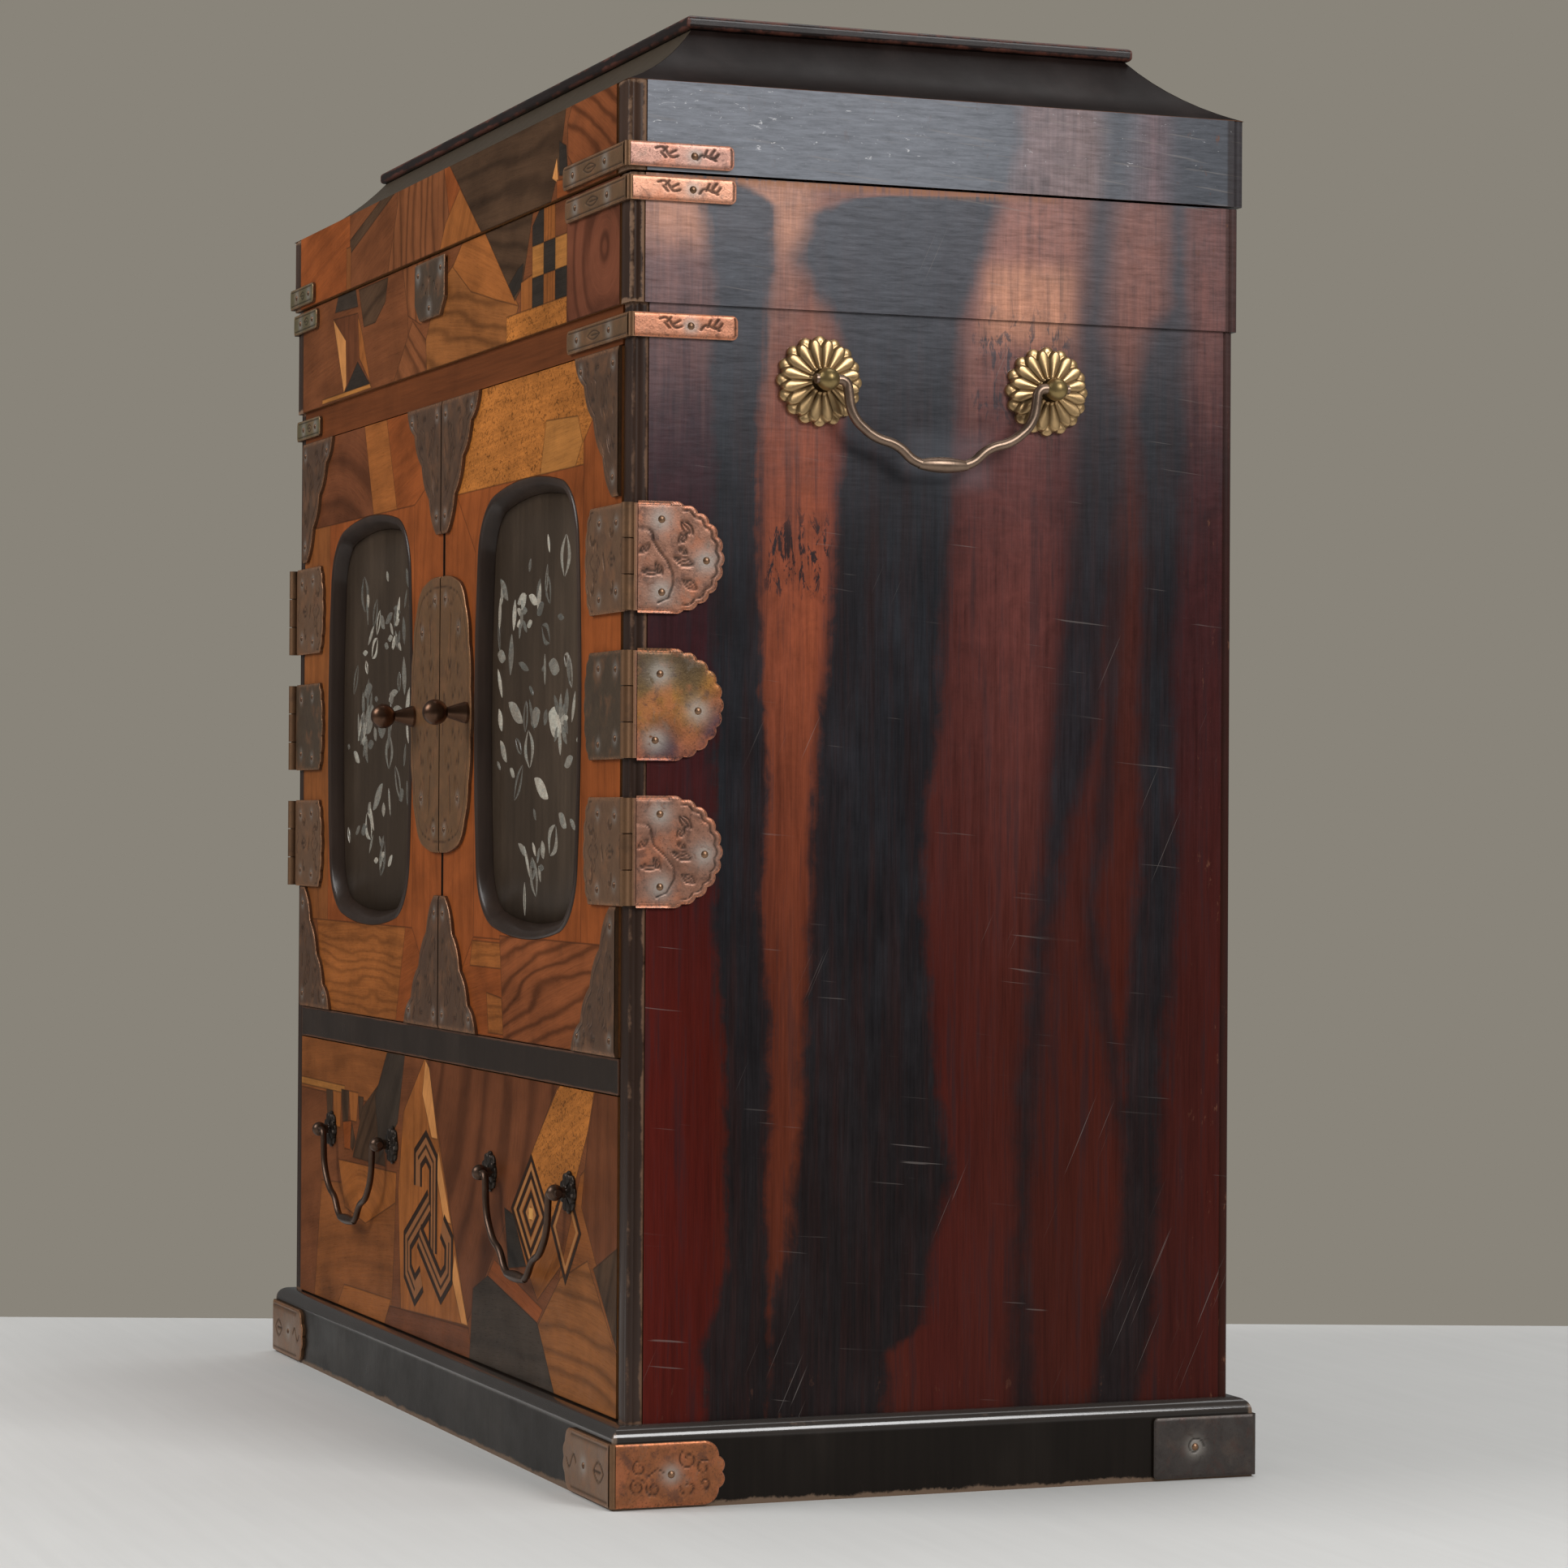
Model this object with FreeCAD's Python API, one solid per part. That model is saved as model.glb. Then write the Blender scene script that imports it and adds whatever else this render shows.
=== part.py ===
import FreeCAD, Part
import math
import os

# A small table cabinet in millimetres. X runs to the right, Y to the back and Z up.
# The origin lies on the floor under the middle of the body, and the doors face -Y.

Vector = FreeCAD.Vector

# Carcass
BODY_WIDTH = 330.0
BODY_DEPTH = 168.0
SIDE_THICKNESS = 7.0
BACK_THICKNESS = 7.0
DRAWER_OPENING = 81.8
RAIL_THICKNESS = 9.2
DOOR_OPENING = 180.3
TOP_RAIL_HEIGHT = 10.0
TOP_RAIL_DEPTH = 14.0
POST_DEPTH = 4.6
UPPER_POST_DEPTH = 3.1
POST_BEAD = 2.1
POST_BEAD_CUT = 0.63
REED_CREST = 0.1
BEAD_NICK = 0.5
REAR_BEAD = 2.4
REAR_BEAD_CREST = 0.2

# Plinth
PLINTH_HEIGHT = 20.7
PLINTH_OVERHANG = 4.8
PLINTH_ROUND = 3.5
PLINTH_RAIL_DEPTH = 18.0
PLINTH_BEARER_WIDTH = 24.0
BOTTOM_THICKNESS = 8.0

# Till and lid
TILL_HEIGHT = 32.5
TILL_OVERHANG = 1.0
TILL_THICKNESS = 8.0
LID_GAP = 0.5
LID_OVERHANG = 2.0
LID_THICKNESS = 9.0
LID_BAND = 22.7
COVE_HEIGHT = 17.6
COVE_RUN_X = 22.0
COVE_RUN_Y = 24.5
COVE_HOLLOW = 1.85
COVE_BAR_SHARE = 1.3
COVE_FOOT_SHARE = 0.45
SLAB_THICKNESS = 3.5
SLAB_LIP = 1.5
SLAB_ROUND = 1.2

# Sheet metal
SHEET = 0.9
STRAP_WIDTH = 6.2
STRAP_ROUND = 1.6
STRAP_INSET = 0.8
BODY_STRAP_INSET = 2.5
LONG_LEG = 50.0
SHORT_LEG = 28.0
PLINTH_LEG_FRONT = 37.0
PLINTH_LEG_SIDE = 29.0
PLINTH_MOUNT_HEIGHT = 16.0
PLINTH_MOUNT_LIFT = 0.6
REAR_MOUNT_ROUND = 1.2
CLOUD_HEAD = 5.0
CLOUD_STEP = 1.2
CLOUD_TIP = 0.4
CLOUD_LOBE = 1.1
LOCK_WIDTH = 30.0
LOCK_HEIGHT = 17.0
LOCK_CLIP = 5.0
LOCK_INSET = 1.0
LOCK_FROM_CENTRE = 10.0

# Doors
DOOR_THICKNESS = 12.0
DOOR_GAP = 0.3
WINDOW_WIDTH = 95.0
WINDOW_HEIGHT = 124.5
WINDOW_CORNER = 19.0
WINDOW_SIDE_BOW = 370.0
WINDOW_END_BOW = 170.0
MOULDING_WIDTH = 4.5
MOULDING_PROUD = 1.5
MOULDING_ROUND = 1.9
PANEL_RECESS = 5.0
PANEL_THICKNESS = 4.0
MOUNT_WIDTH = 36.0
MOUNT_HEIGHT = 38.0
MOUNT_TIP = 5.0
MOUNT_LOBES = 4
MOUNT_LOBE_DEPTH = 1.4
MOUNT_SWEEP = 1.15
PLATE_FROM_WINDOW = 1.4
PLATE_HEIGHT = 79.0
PLATE_LOBES = 9
PLATE_FULLNESS = 0.45
KNOB_FROM_PLATE_EDGE = 3.1
KNOB_LENGTH = 13.0
KNOB_RADIUS = 3.6
KNOB_COLLAR = 1.0
KNOB_FOOT_SHARE = 0.85
KNOB_NECK_SHARE = 0.4

# Hinges
HINGES_PER_DOOR = 3
HINGE_HEIGHT = 27.0
HINGE_ABOVE_MOUNT = 0.5
HINGE_BELOW_MOUNT = 2.2
HINGE_SIDE_LEG = 24.0
HINGE_FROM_WINDOW = 5.5
LEAF_LOBE = 0.9
SIDE_LEAF_LOBES = 11
SIDE_LEAF_BOW_SHARE = 0.58
FRONT_LEAF_LOBES = 7
FRONT_LEAF_BOW = 5.0
BARREL_RADIUS = 1.6
BARREL_OFFSET = 1.25
PIN_RADIUS = 0.8
PIN_CLEARANCE = 0.05
KNUCKLE_GAP = 0.3
BARREL_CLEARANCE = 0.3
LID_HINGE_WIDTH = 30.0
LID_HINGE_SPACING = 200.0
LID_HINGE_LEG = 14.0
LID_HINGE_STANDOFF = 0.15
LID_LEAF_START = 0.4
TILL_LEAF_START = 1.0
WEB_SHARE = 0.6

# Long drawer
DRAWER_GAP = 0.4
DRAWER_FRONT = 10.0
DRAWER_SIDE = 6.0
DRAWER_BACK_GAP = 9.0
DRAWER_SIDE_DROP = 15.0
DRAWER_BOTTOM = 4.0
HANDLE_SPAN = 67.0
HANDLE_FROM_SIDE = 79.0
HANDLE_RISE = 54.3
HANDLE_STANDOFF = 4.2
HANDLE_DROP = 26.5
HANDLE_WIRE = 0.95

# Carrying bails on the sides
BAIL_SPAN = 63.5
BAIL_CENTRE_Y = -2.05
BAIL_BELOW_TILL = 18.0
BAIL_STANDOFF = 7.0
BAIL_DROP = 21.8
BAIL_WIRE = 1.3
ROSETTE_RADIUS = 12.0
ROSETTE_PETALS = 16
PETAL_ROUND = 1.0
ROSETTE_RIM = 1.2
ROSETTE_STEP = 2.0
ROSETTE_DOME = 3.2
ROSETTE_CROWN = 1.0
ROSETTE_BOSS = 2.4

# Every bail: its arm lies this far inside its eye, and then goes inwards by the first and
# down by the second of each pair, the second being a share of the drop
BAIL_STUB = 3.4
BAIL_ARM_INSET = 5.2
BAIL_SHOULDERS = ((0.0, 0.0), (1.2, 0.42), (7.5, 0.66), (14.0, 0.73), (19.0, 0.95))
END_BEND_SHARE = 0.22
BEND_SHARE = 0.45
SWELL_LENGTH_SHARE = 0.9
SWELL_SHARE = 1.6
SWELL_END_SHARE = 0.9
EYE_BALL_SHARE = 2.3
EYE_STEM_SHARE = 1.5

# Casing and small drawers behind the doors
CHEEK_THICKNESS = 6.5
PARTITION_THICKNESS = 6.0
SHELF_THICKNESS = 4.0
CASING_GAP = 0.5
SMALL_DRAWERS = 3
SMALL_DRAWER_RECESS = 11.5
SMALL_DRAWER_GAP = 0.4
SMALL_DRAWER_FRONT = 8.0
SMALL_DRAWER_WALL = 4.0
SMALL_DRAWER_SIDE_DROP = 2.0
SMALL_DRAWER_BACK_GAP = 2.0
SMALL_KNOB_LENGTH = 7.5
SMALL_KNOB_RADIUS = 2.8

# How far a cut reaches past what it goes through, and the distance that counts as touching
CUT_PAST = 1.0
TOUCH = 0.01

# Levels and faces that follow from the sizes above
half_width = BODY_WIDTH / 2
half_depth = BODY_DEPTH / 2
inner_x = half_width - SIDE_THICKNESS
inner_back = half_depth - BACK_THICKNESS
rail_base = PLINTH_HEIGHT + DRAWER_OPENING
cupboard_base = rail_base + RAIL_THICKNESS
top_rail_base = cupboard_base + DOOR_OPENING
till_base = top_rail_base + TOP_RAIL_HEIGHT
till_top = till_base + TILL_HEIGHT
lid_base = till_top + LID_GAP
cove_base = lid_base + LID_BAND
slab_base = cove_base + COVE_HEIGHT
post_back = -half_depth + POST_DEPTH
upper_post_back = -half_depth + UPPER_POST_DEPTH
door_low = cupboard_base + DOOR_GAP
door_high = top_rail_base - DOOR_GAP
door_middle = (door_low + door_high) / 2
window_x = inner_x / 2
plate_reach = window_x - WINDOW_WIDTH / 2 - PLATE_FROM_WINDOW
hinge_front_leg = half_width - window_x - WINDOW_WIDTH / 2 - HINGE_FROM_WINDOW
first_hinge = door_low + MOUNT_HEIGHT + HINGE_ABOVE_MOUNT
last_hinge = door_high - MOUNT_HEIGHT - HINGE_BELOW_MOUNT - HINGE_HEIGHT
hinge_x = half_width + BARREL_OFFSET
hinge_y = -half_depth - BARREL_OFFSET


def block(low, high):
    """Box between two opposite corners."""
    size = [b - a for a, b in zip(low, high)]
    return Part.makeBox(*size, Vector(*low))


def cylinder(radius, start, end):
    """Round bar from one centre to another."""
    way = Vector(*end) - Vector(*start)
    return Part.makeCylinder(radius, way.Length, Vector(*start), way)


def in_plan(z):
    return lambda x, y: Vector(x, y, z)


def on_front(y):
    return lambda x, z: Vector(x, y, z)


def on_side(x):
    return lambda y, z: Vector(x, y, z)


def outline(place, start, steps):
    """Flat face. A step of one point is a line, and a step of two is an arc by its middle and end."""
    edges = []
    here = start
    for step in steps:
        if isinstance(step[0], tuple):
            middle, end = step
            edges.append(Part.Arc(place(*here), place(*middle), place(*end)).toShape())
        else:
            end = step
            edges.append(Part.makeLine(place(*here), place(*end)))
        here = end
    if math.dist(here, start) > 1e-6:
        edges.append(Part.makeLine(place(*here), place(*start)))
    return Part.Face(Part.Wire(edges))


def lobes(knots, bulge):
    """Arcs from knot to knot, each bowed to the left of its way."""
    steps = []
    for (u0, v0), (u1, v1) in zip(knots, knots[1:]):
        share = bulge / math.hypot(u1 - u0, v1 - v0)
        middle = ((u0 + u1) / 2 - (v1 - v0) * share, (v0 + v1) / 2 + (u1 - u0) * share)
        steps.append((middle, (u1, v1)))
    return steps


def joined(shapes):
    """One solid from shapes that meet."""
    whole = shapes[0].fuse(shapes[1:]).removeSplitter()
    return whole.Solids[0]


def other_side(shape):
    """The same piece on the left."""
    return shape.mirror(Vector(0, 0, 0), Vector(1, 0, 0))


def other_end(shape):
    """The same piece at the back."""
    return shape.mirror(Vector(0, 0, 0), Vector(0, 1, 0))


def both_sides(shape):
    return [shape, other_side(shape)]


def write(name, solids):
    """Write one node as a STEP file."""
    shape = solids[0] if len(solids) == 1 else Part.makeCompound(solids)
    shape.exportStep(f"parts/{name}.step")


def mitred_frame(half_x, half_y, deep_x, deep_y, low, high, section):
    """Front, back, right and left bars of a frame whose corners are mitred.

    section(place, deep) draws the bar's section from its outer face inwards.
    """
    near_x = half_x - deep_x
    near_y = half_y - deep_y
    front_plan = [(half_x, -half_y), (near_x, -near_y), (-near_x, -near_y)]
    side_plan = [(half_x, half_y), (near_x, near_y), (near_x, -near_y)]
    rise = Vector(0, 0, high - low)
    front_room = outline(in_plan(low), (-half_x, -half_y), front_plan).extrude(rise)
    side_room = outline(in_plan(low), (half_x, -half_y), side_plan).extrude(rise)
    front_face = section(lambda u, z: Vector(-half_x, u - half_y, z), deep_y)
    side_face = section(lambda u, z: Vector(half_x - u, -half_y, z), deep_x)
    front = front_face.extrude(Vector(2 * half_x, 0, 0)).common(front_room).Solids[0]
    side = side_face.extrude(Vector(0, 2 * half_y, 0)).common(side_room).Solids[0]
    return [front, other_end(front), side, other_side(side)]


def plinth_section(place, deep):
    """Rail with its upper outer arris rounded over."""
    shoulder = PLINTH_HEIGHT - PLINTH_ROUND
    near = PLINTH_ROUND * (1 - math.sqrt(0.5))
    steps = [(0.0, shoulder), ((near, PLINTH_HEIGHT - near), (PLINTH_ROUND, PLINTH_HEIGHT))]
    steps += [(deep, PLINTH_HEIGHT), (deep, 0.0)]
    return outline(place, (0.0, 0.0), steps)


def cove_section(place, deep):
    """Hollow-curved moulding that rises inwards, with its back hollowed to match."""
    run = deep / COVE_BAR_SHARE
    steps = lobes([(0.0, cove_base), (run, slab_base)], -COVE_HOLLOW)
    steps += [(deep, slab_base), (deep, slab_base - COVE_HEIGHT / 4)]
    steps += [(run * COVE_FOOT_SHARE, cove_base)]
    return outline(place, (0.0, cove_base), steps)


def reeded_post(overhang, back, low, high):
    """Right front corner post: a round bead on the corner between two flatter reeds."""
    x = half_width + overhang
    y = -half_depth - overhang
    left = inner_x
    bead_x = x - POST_BEAD
    bead_y = y + POST_BEAD
    nick_x = x - BEAD_NICK
    nick_y = y + BEAD_NICK
    steps = [(left, nick_y), (((left + bead_x) / 2, y + REED_CREST), (bead_x, nick_y))]
    steps += [((x - POST_BEAD_CUT, y + POST_BEAD_CUT), (nick_x, bead_y))]
    steps += [((x - REED_CREST, (bead_y + back) / 2), (nick_x, back))]
    return outline(in_plan(low), (left, back), steps).extrude(Vector(0, 0, high - low))


def beaded_board(overhang, thickness, front, low, high):
    """Right side board behind the post, with a bead worked on its rear arris."""
    x = half_width + overhang
    y = half_depth + overhang
    inner = x - thickness
    bead_start = y - REAR_BEAD
    nick = (x - BEAD_NICK, bead_start)
    bead = ((x - REAR_BEAD_CREST, y - REAR_BEAD / 2), (x - BEAD_NICK * 2, y))
    steps = [(x, front), (x, bead_start - BEAD_NICK), nick, bead, (inner, y)]
    return outline(in_plan(low), (inner, front), steps).extrude(Vector(0, 0, high - low))


def tab(root, end, low, high, rounding):
    """Steps round a flat tab from its low root to its high root, with a rounded end."""
    way = math.copysign(rounding, end - root)
    near = 1 - math.sqrt(0.5)
    low_arc = ((end - way * near, low + rounding * near), (end, low + rounding))
    high_arc = ((end - way * near, high - rounding * near), (end - way, high))
    return [(end - way, low), low_arc, (end, high - rounding), high_arc, (root, high)]


def cloud_tab(root, end, low, high):
    """Steps round a tab whose end is a head of four lobes."""
    way = math.copysign(1.0, end - root)
    quarter = (high - low) / 4
    neck = end - way * CLOUD_HEAD
    cheek = end - way * CLOUD_STEP
    knots = [(neck, low), (cheek, low + quarter), (end - way * CLOUD_TIP, (low + high) / 2)]
    knots += [(cheek, high - quarter), (neck, high)]
    return [(neck, low)] + lobes(knots, -way * CLOUD_LOBE) + [(root, high)]


def corner_wrap(x, y, low, high, front_steps, side_steps):
    """Bent sheet round the right front corner, from the steps of its two legs."""
    front = outline(on_front(y), (x, low), front_steps).extrude(Vector(0, -SHEET, 0))
    side = outline(on_side(x), (y, low), side_steps).extrude(Vector(SHEET, 0, 0))
    reach = SHEET * math.sqrt(0.5)
    sector = [(x, y - SHEET), ((x + reach, y - reach), (x + SHEET, y))]
    bend = outline(in_plan(low), (x, y), sector).extrude(Vector(0, 0, high - low))
    return joined([front, side, bend])


def strap(overhang, low, front_leg):
    """Narrow corner strap with rounded ends."""
    x = half_width + overhang
    y = -half_depth - overhang
    high = low + STRAP_WIDTH
    front_steps = tab(x, x - front_leg, low, high, STRAP_ROUND)
    side_steps = tab(y, y + SHORT_LEG, low, high, STRAP_ROUND)
    return corner_wrap(x, y, low, high, front_steps, side_steps)


def strap_pair(overhang, low):
    """Long front leg on the right corner and short front leg on the left one."""
    return [strap(overhang, low, LONG_LEG), other_side(strap(overhang, low, SHORT_LEG))]


def knuckles(place, along, leaf):
    """Three shares of a hinge's length: the outer two for one leaf, the middle for the other."""
    third = (along - 2 * KNUCKLE_GAP) / 3
    starts = [0.0, 2 * (third + KNUCKLE_GAP)] if leaf == "outer" else [third + KNUCKLE_GAP]
    return [(place(start), place(start + third)) for start in starts]


def leaf_with_knuckles(plate, place, along, leaf, web=None):
    """Leaf joined to its knuckles, bored for the pin and cut clear of the other leaf's knuckles."""
    other = "middle" if leaf == "outer" else "outer"
    clear = BARREL_RADIUS + BARREL_CLEARANCE
    gap = (place(1.0) - place(0.0)) * KNUCKLE_GAP
    for start, end in knuckles(place, along, other):
        plate = plate.cut(cylinder(clear, start - gap, end + gap))
    barrels = []
    for start, end in knuckles(place, along, leaf):
        barrels.append(cylinder(BARREL_RADIUS, start, end))
        if web:
            barrels.append(web(start, end))
    whole = joined([plate] + barrels)
    bore = cylinder(PIN_RADIUS + PIN_CLEARANCE, place(-CUT_PAST), place(along + CUT_PAST))
    return whole.cut(bore).Solids[0]


def half_turn(count):
    """Angles from a quarter turn below level to a quarter turn above it, in equal shares."""
    return [math.pi * (index / count - 0.5) for index in range(count + 1)]


def scalloped_end(root, end, low, high, count, depth):
    """Steps round a leaf whose end bows out by a depth and is cut into lobes."""
    way = math.copysign(1.0, end - root)
    middle = (low + high) / 2
    half = (high - low) / 2
    knots = []
    for angle in half_turn(count):
        knots.append((end - way * depth * (1 - math.cos(angle)), middle + half * math.sin(angle)))
    return [knots[0]] + lobes(knots, -way * LEAF_LOBE) + [(root, high)]


def hinge_line(low):
    """Places along the pin of the right hand hinge that starts at a level."""
    return lambda along: Vector(hinge_x, hinge_y, low + along)


def hinge_levels():
    """Low end of each door hinge, evenly spaced between the door's corner mounts."""
    pitch = (last_hinge - first_hinge) / (HINGES_PER_DOOR - 1)
    return [first_hinge + pitch * index for index in range(HINGES_PER_DOOR)]


def side_leaf(low):
    """Leaf on the right side board, with the two outer knuckles."""
    high = low + HINGE_HEIGHT
    end = HINGE_SIDE_LEG - half_depth
    bow = HINGE_SIDE_LEG * SIDE_LEAF_BOW_SHARE
    steps = scalloped_end(-half_depth, end, low, high, SIDE_LEAF_LOBES, bow)
    plate = outline(on_side(half_width), (-half_depth, low), steps).extrude(Vector(SHEET, 0, 0))
    return leaf_with_knuckles(plate, hinge_line(low), HINGE_HEIGHT, "outer")


def front_leaf(low):
    """Leaf on the right door, with the middle knuckle."""
    high = low + HINGE_HEIGHT
    end = half_width - hinge_front_leg
    steps = scalloped_end(half_width, end, low, high, FRONT_LEAF_LOBES, FRONT_LEAF_BOW)
    plate = outline(on_front(-half_depth), (half_width, low), steps).extrude(Vector(0, -SHEET, 0))
    return leaf_with_knuckles(plate, hinge_line(low), HINGE_HEIGHT, "middle")


def lid_hinge(centre_x):
    """Lower leaf, upper leaf and pin of one lid hinge on the back."""
    left = centre_x - LID_HINGE_WIDTH / 2
    right = centre_x + LID_HINGE_WIDTH / 2
    till_face = half_depth + TILL_OVERHANG
    lid_face = half_depth + LID_OVERHANG
    axis_y = lid_face + BARREL_RADIUS + LID_HINGE_STANDOFF
    axis_z = till_top + LID_GAP / 2
    web_high = BARREL_RADIUS * WEB_SHARE
    web_depth = axis_y - math.sqrt(BARREL_RADIUS ** 2 - (BARREL_RADIUS - web_high) ** 2) - till_face

    def place(along):
        return Vector(left + along, axis_y, axis_z)

    def web(start, end):
        low = Vector(start.x, till_face, axis_z - BARREL_RADIUS)
        return Part.makeBox((end - start).Length, web_depth, web_high, low)

    till_low = (left, till_face, axis_z - LID_HINGE_LEG)
    lower = block(till_low, (right, till_face + SHEET, axis_z - TILL_LEAF_START))
    lid_low = (left, lid_face, axis_z + LID_LEAF_START)
    upper = block(lid_low, (right, lid_face + SHEET, axis_z + LID_HINGE_LEG))
    pin = cylinder(PIN_RADIUS, place(0.0), place(LID_HINGE_WIDTH))
    lower_leaf = leaf_with_knuckles(lower, place, LID_HINGE_WIDTH, "outer", web)
    return lower_leaf, leaf_with_knuckles(upper, place, LID_HINGE_WIDTH, "middle"), pin


def window_outline(y, inset):
    """Rounded window outline with slightly bowed sides, its arcs tangent to each other."""
    a = WINDOW_WIDTH / 2
    b = WINDOW_HEIGHT / 2
    side_x = a - WINDOW_SIDE_BOW
    end_z = b - WINDOW_END_BOW
    side_reach = WINDOW_SIDE_BOW - WINDOW_CORNER
    end_reach = WINDOW_END_BOW - WINDOW_CORNER
    gap = math.hypot(side_x, end_z)
    along = (side_reach ** 2 - end_reach ** 2 + gap ** 2) / (2 * gap)
    across = math.sqrt(side_reach ** 2 - along ** 2)
    corner_x = side_x - along * side_x / gap - across * end_z / gap
    corner_z = along * end_z / gap - across * side_x / gap
    side_angle = math.atan2(corner_z, corner_x - side_x)
    end_angle = math.atan2(corner_z - end_z, corner_x)
    radius = WINDOW_CORNER - inset

    def at(angle):
        return corner_x + radius * math.cos(angle), corner_z + radius * math.sin(angle)

    side_point = at(side_angle)
    end_point = at(end_angle)
    mid_point = at((side_angle + end_angle) / 2)
    steps = [(mid_point, end_point), ((0.0, b - inset), (-end_point[0], end_point[1]))]
    steps += [((-mid_point[0], mid_point[1]), (-side_point[0], side_point[1]))]
    steps += [((inset - a, 0.0), (-side_point[0], -side_point[1]))]
    steps += [((-mid_point[0], -mid_point[1]), (-end_point[0], -end_point[1]))]
    steps += [((0.0, inset - b), (end_point[0], -end_point[1]))]
    steps += [((mid_point[0], -mid_point[1]), (side_point[0], -side_point[1]))]
    steps += [((a - inset, 0.0), side_point)]
    return outline(lambda u, v: Vector(window_x + u, y, door_middle + v), side_point, steps)


def door_corner_mount(x, z, way_x, way_z):
    """Thin three-sided mount in a door's corner, its long edge cut into lobes."""
    knots = []
    for index in range(MOUNT_LOBES + 1):
        share = index / MOUNT_LOBES
        width = MOUNT_WIDTH - (MOUNT_WIDTH - MOUNT_TIP) * share
        knots.append((width, MOUNT_HEIGHT * share ** MOUNT_SWEEP))
    place = on_front(-half_depth)
    steps = [knots[0]] + lobes(knots, -MOUNT_LOBE_DEPTH) + [(0.0, MOUNT_HEIGHT)]
    face = outline(lambda u, v: place(x + way_x * u, z + way_z * v), (0.0, 0.0), steps)
    return face.extrude(Vector(0, -SHEET, 0))


def lock_plate_half():
    """Right half of the scalloped plate at the meeting of the doors."""
    knots = []
    for angle in half_turn(PLATE_LOBES):
        x = DOOR_GAP + (plate_reach - DOOR_GAP) * math.cos(angle) ** PLATE_FULLNESS
        knots.append((x, door_middle + PLATE_HEIGHT / 2 * math.sin(angle)))
    face = outline(on_front(-half_depth), knots[0], lobes(knots, -LEAF_LOBE))
    return face.extrude(Vector(0, -SHEET, 0))


def knob(x, z, face_y, length, radius):
    """Turned knob that stands out of a face towards the front: base disc, neck and ball."""
    foot = KNOB_FOOT_SHARE * radius
    neck = KNOB_NECK_SHARE * radius
    ball = length - radius
    waist = ball - math.sqrt(radius ** 2 - neck ** 2)
    steps = [(foot, 0.0), (foot, KNOB_COLLAR), (neck, waist), ((radius, ball), (0.0, length))]
    half = outline(lambda r, out: Vector(x + r, face_y - out, z), (0.0, 0.0), steps)
    return half.revolve(Vector(x, face_y, z), Vector(0, 1, 0), 360)


def bend_radius(points, index):
    """Radius at a corner of a route: tight beside the two ends and as large as fits elsewhere."""
    before = points[index - 1] - points[index]
    after = points[index + 1] - points[index]
    turn = math.pi - before.getAngle(after)
    share = END_BEND_SHARE if index in (1, len(points) - 2) else BEND_SHARE
    return share * min(before.Length, after.Length) / math.tan(turn / 2)


def bent_wire(points, radius):
    """Round wire along straight runs that are joined by tangent arcs."""
    edges = []
    here = points[0]
    for index in range(1, len(points) - 1):
        corner = points[index]
        before = (points[index - 1] - corner).normalize()
        after = (points[index + 1] - corner).normalize()
        turn = math.pi - before.getAngle(after)
        bend = bend_radius(points, index)
        reach = bend * math.tan(turn / 2)
        middle_way = (before + after).normalize()
        middle = corner + middle_way * (bend / math.cos(turn / 2) - bend)
        edges.append(Part.makeLine(here, corner + before * reach))
        edges.append(Part.Arc(corner + before * reach, middle, corner + after * reach).toShape())
        here = corner + after * reach
    edges.append(Part.makeLine(here, points[-1]))
    path = Part.Wire(edges)
    section = Part.Wire(Part.makeCircle(radius, points[0], points[1] - points[0]))
    return path.makePipeShell([section], True, True)


def spindle(middle, way, half_length, radius, end_radius):
    """Thick middle of a bail: a bar that swells towards its centre."""
    steps = [(-half_length, end_radius), ((0.0, radius), (half_length, end_radius))]
    steps += [(half_length, 0.0)]
    half = outline(lambda u, v: middle + way * u + Vector(0, 0, v), (-half_length, 0.0), steps)
    return half.revolve(middle, way, 360)


def bail(centre, way, span, drop, wire):
    """Swinging handle: stub ends, shouldered arms and a swollen middle."""
    eye = span / 2
    arm = eye - BAIL_ARM_INSET
    shape = [(eye + BAIL_STUB, 0.0)] + [(arm - inwards, down) for inwards, down in BAIL_SHOULDERS]
    right = [centre + way * u - Vector(0, 0, drop * v) for u, v in shape]
    left = [centre - way * u - Vector(0, 0, drop * v) for u, v in shape]
    rod = bent_wire(right + left[::-1], wire)
    grip, share = shape[-1]
    low = centre - Vector(0, 0, drop * share)
    half_swell = grip * SWELL_LENGTH_SHARE
    return joined([rod, spindle(low, way, half_swell, wire * SWELL_SHARE, wire * SWELL_END_SHARE)])


def eye_post(base, out, standoff, hole_way, wire):
    """Turned stem that ends in a ball, bored across for the stub of a bail."""
    ball = wire * EYE_BALL_SHARE
    centre = base + out * standoff
    past = hole_way * (ball + CUT_PAST)
    hole = cylinder(wire + PIN_CLEARANCE, centre - past, centre + past)
    stem = cylinder(wire * EYE_STEM_SHARE, base, centre)
    whole = joined([stem, Part.makeSphere(ball, centre)]).cut(hole)
    size = 4 * ball
    behind = Part.makeBox(size, size, size, base - Vector(1, 1, 1) * (size / 2) - out * (size / 2))
    return whole.cut(behind).Solids[0]


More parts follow.
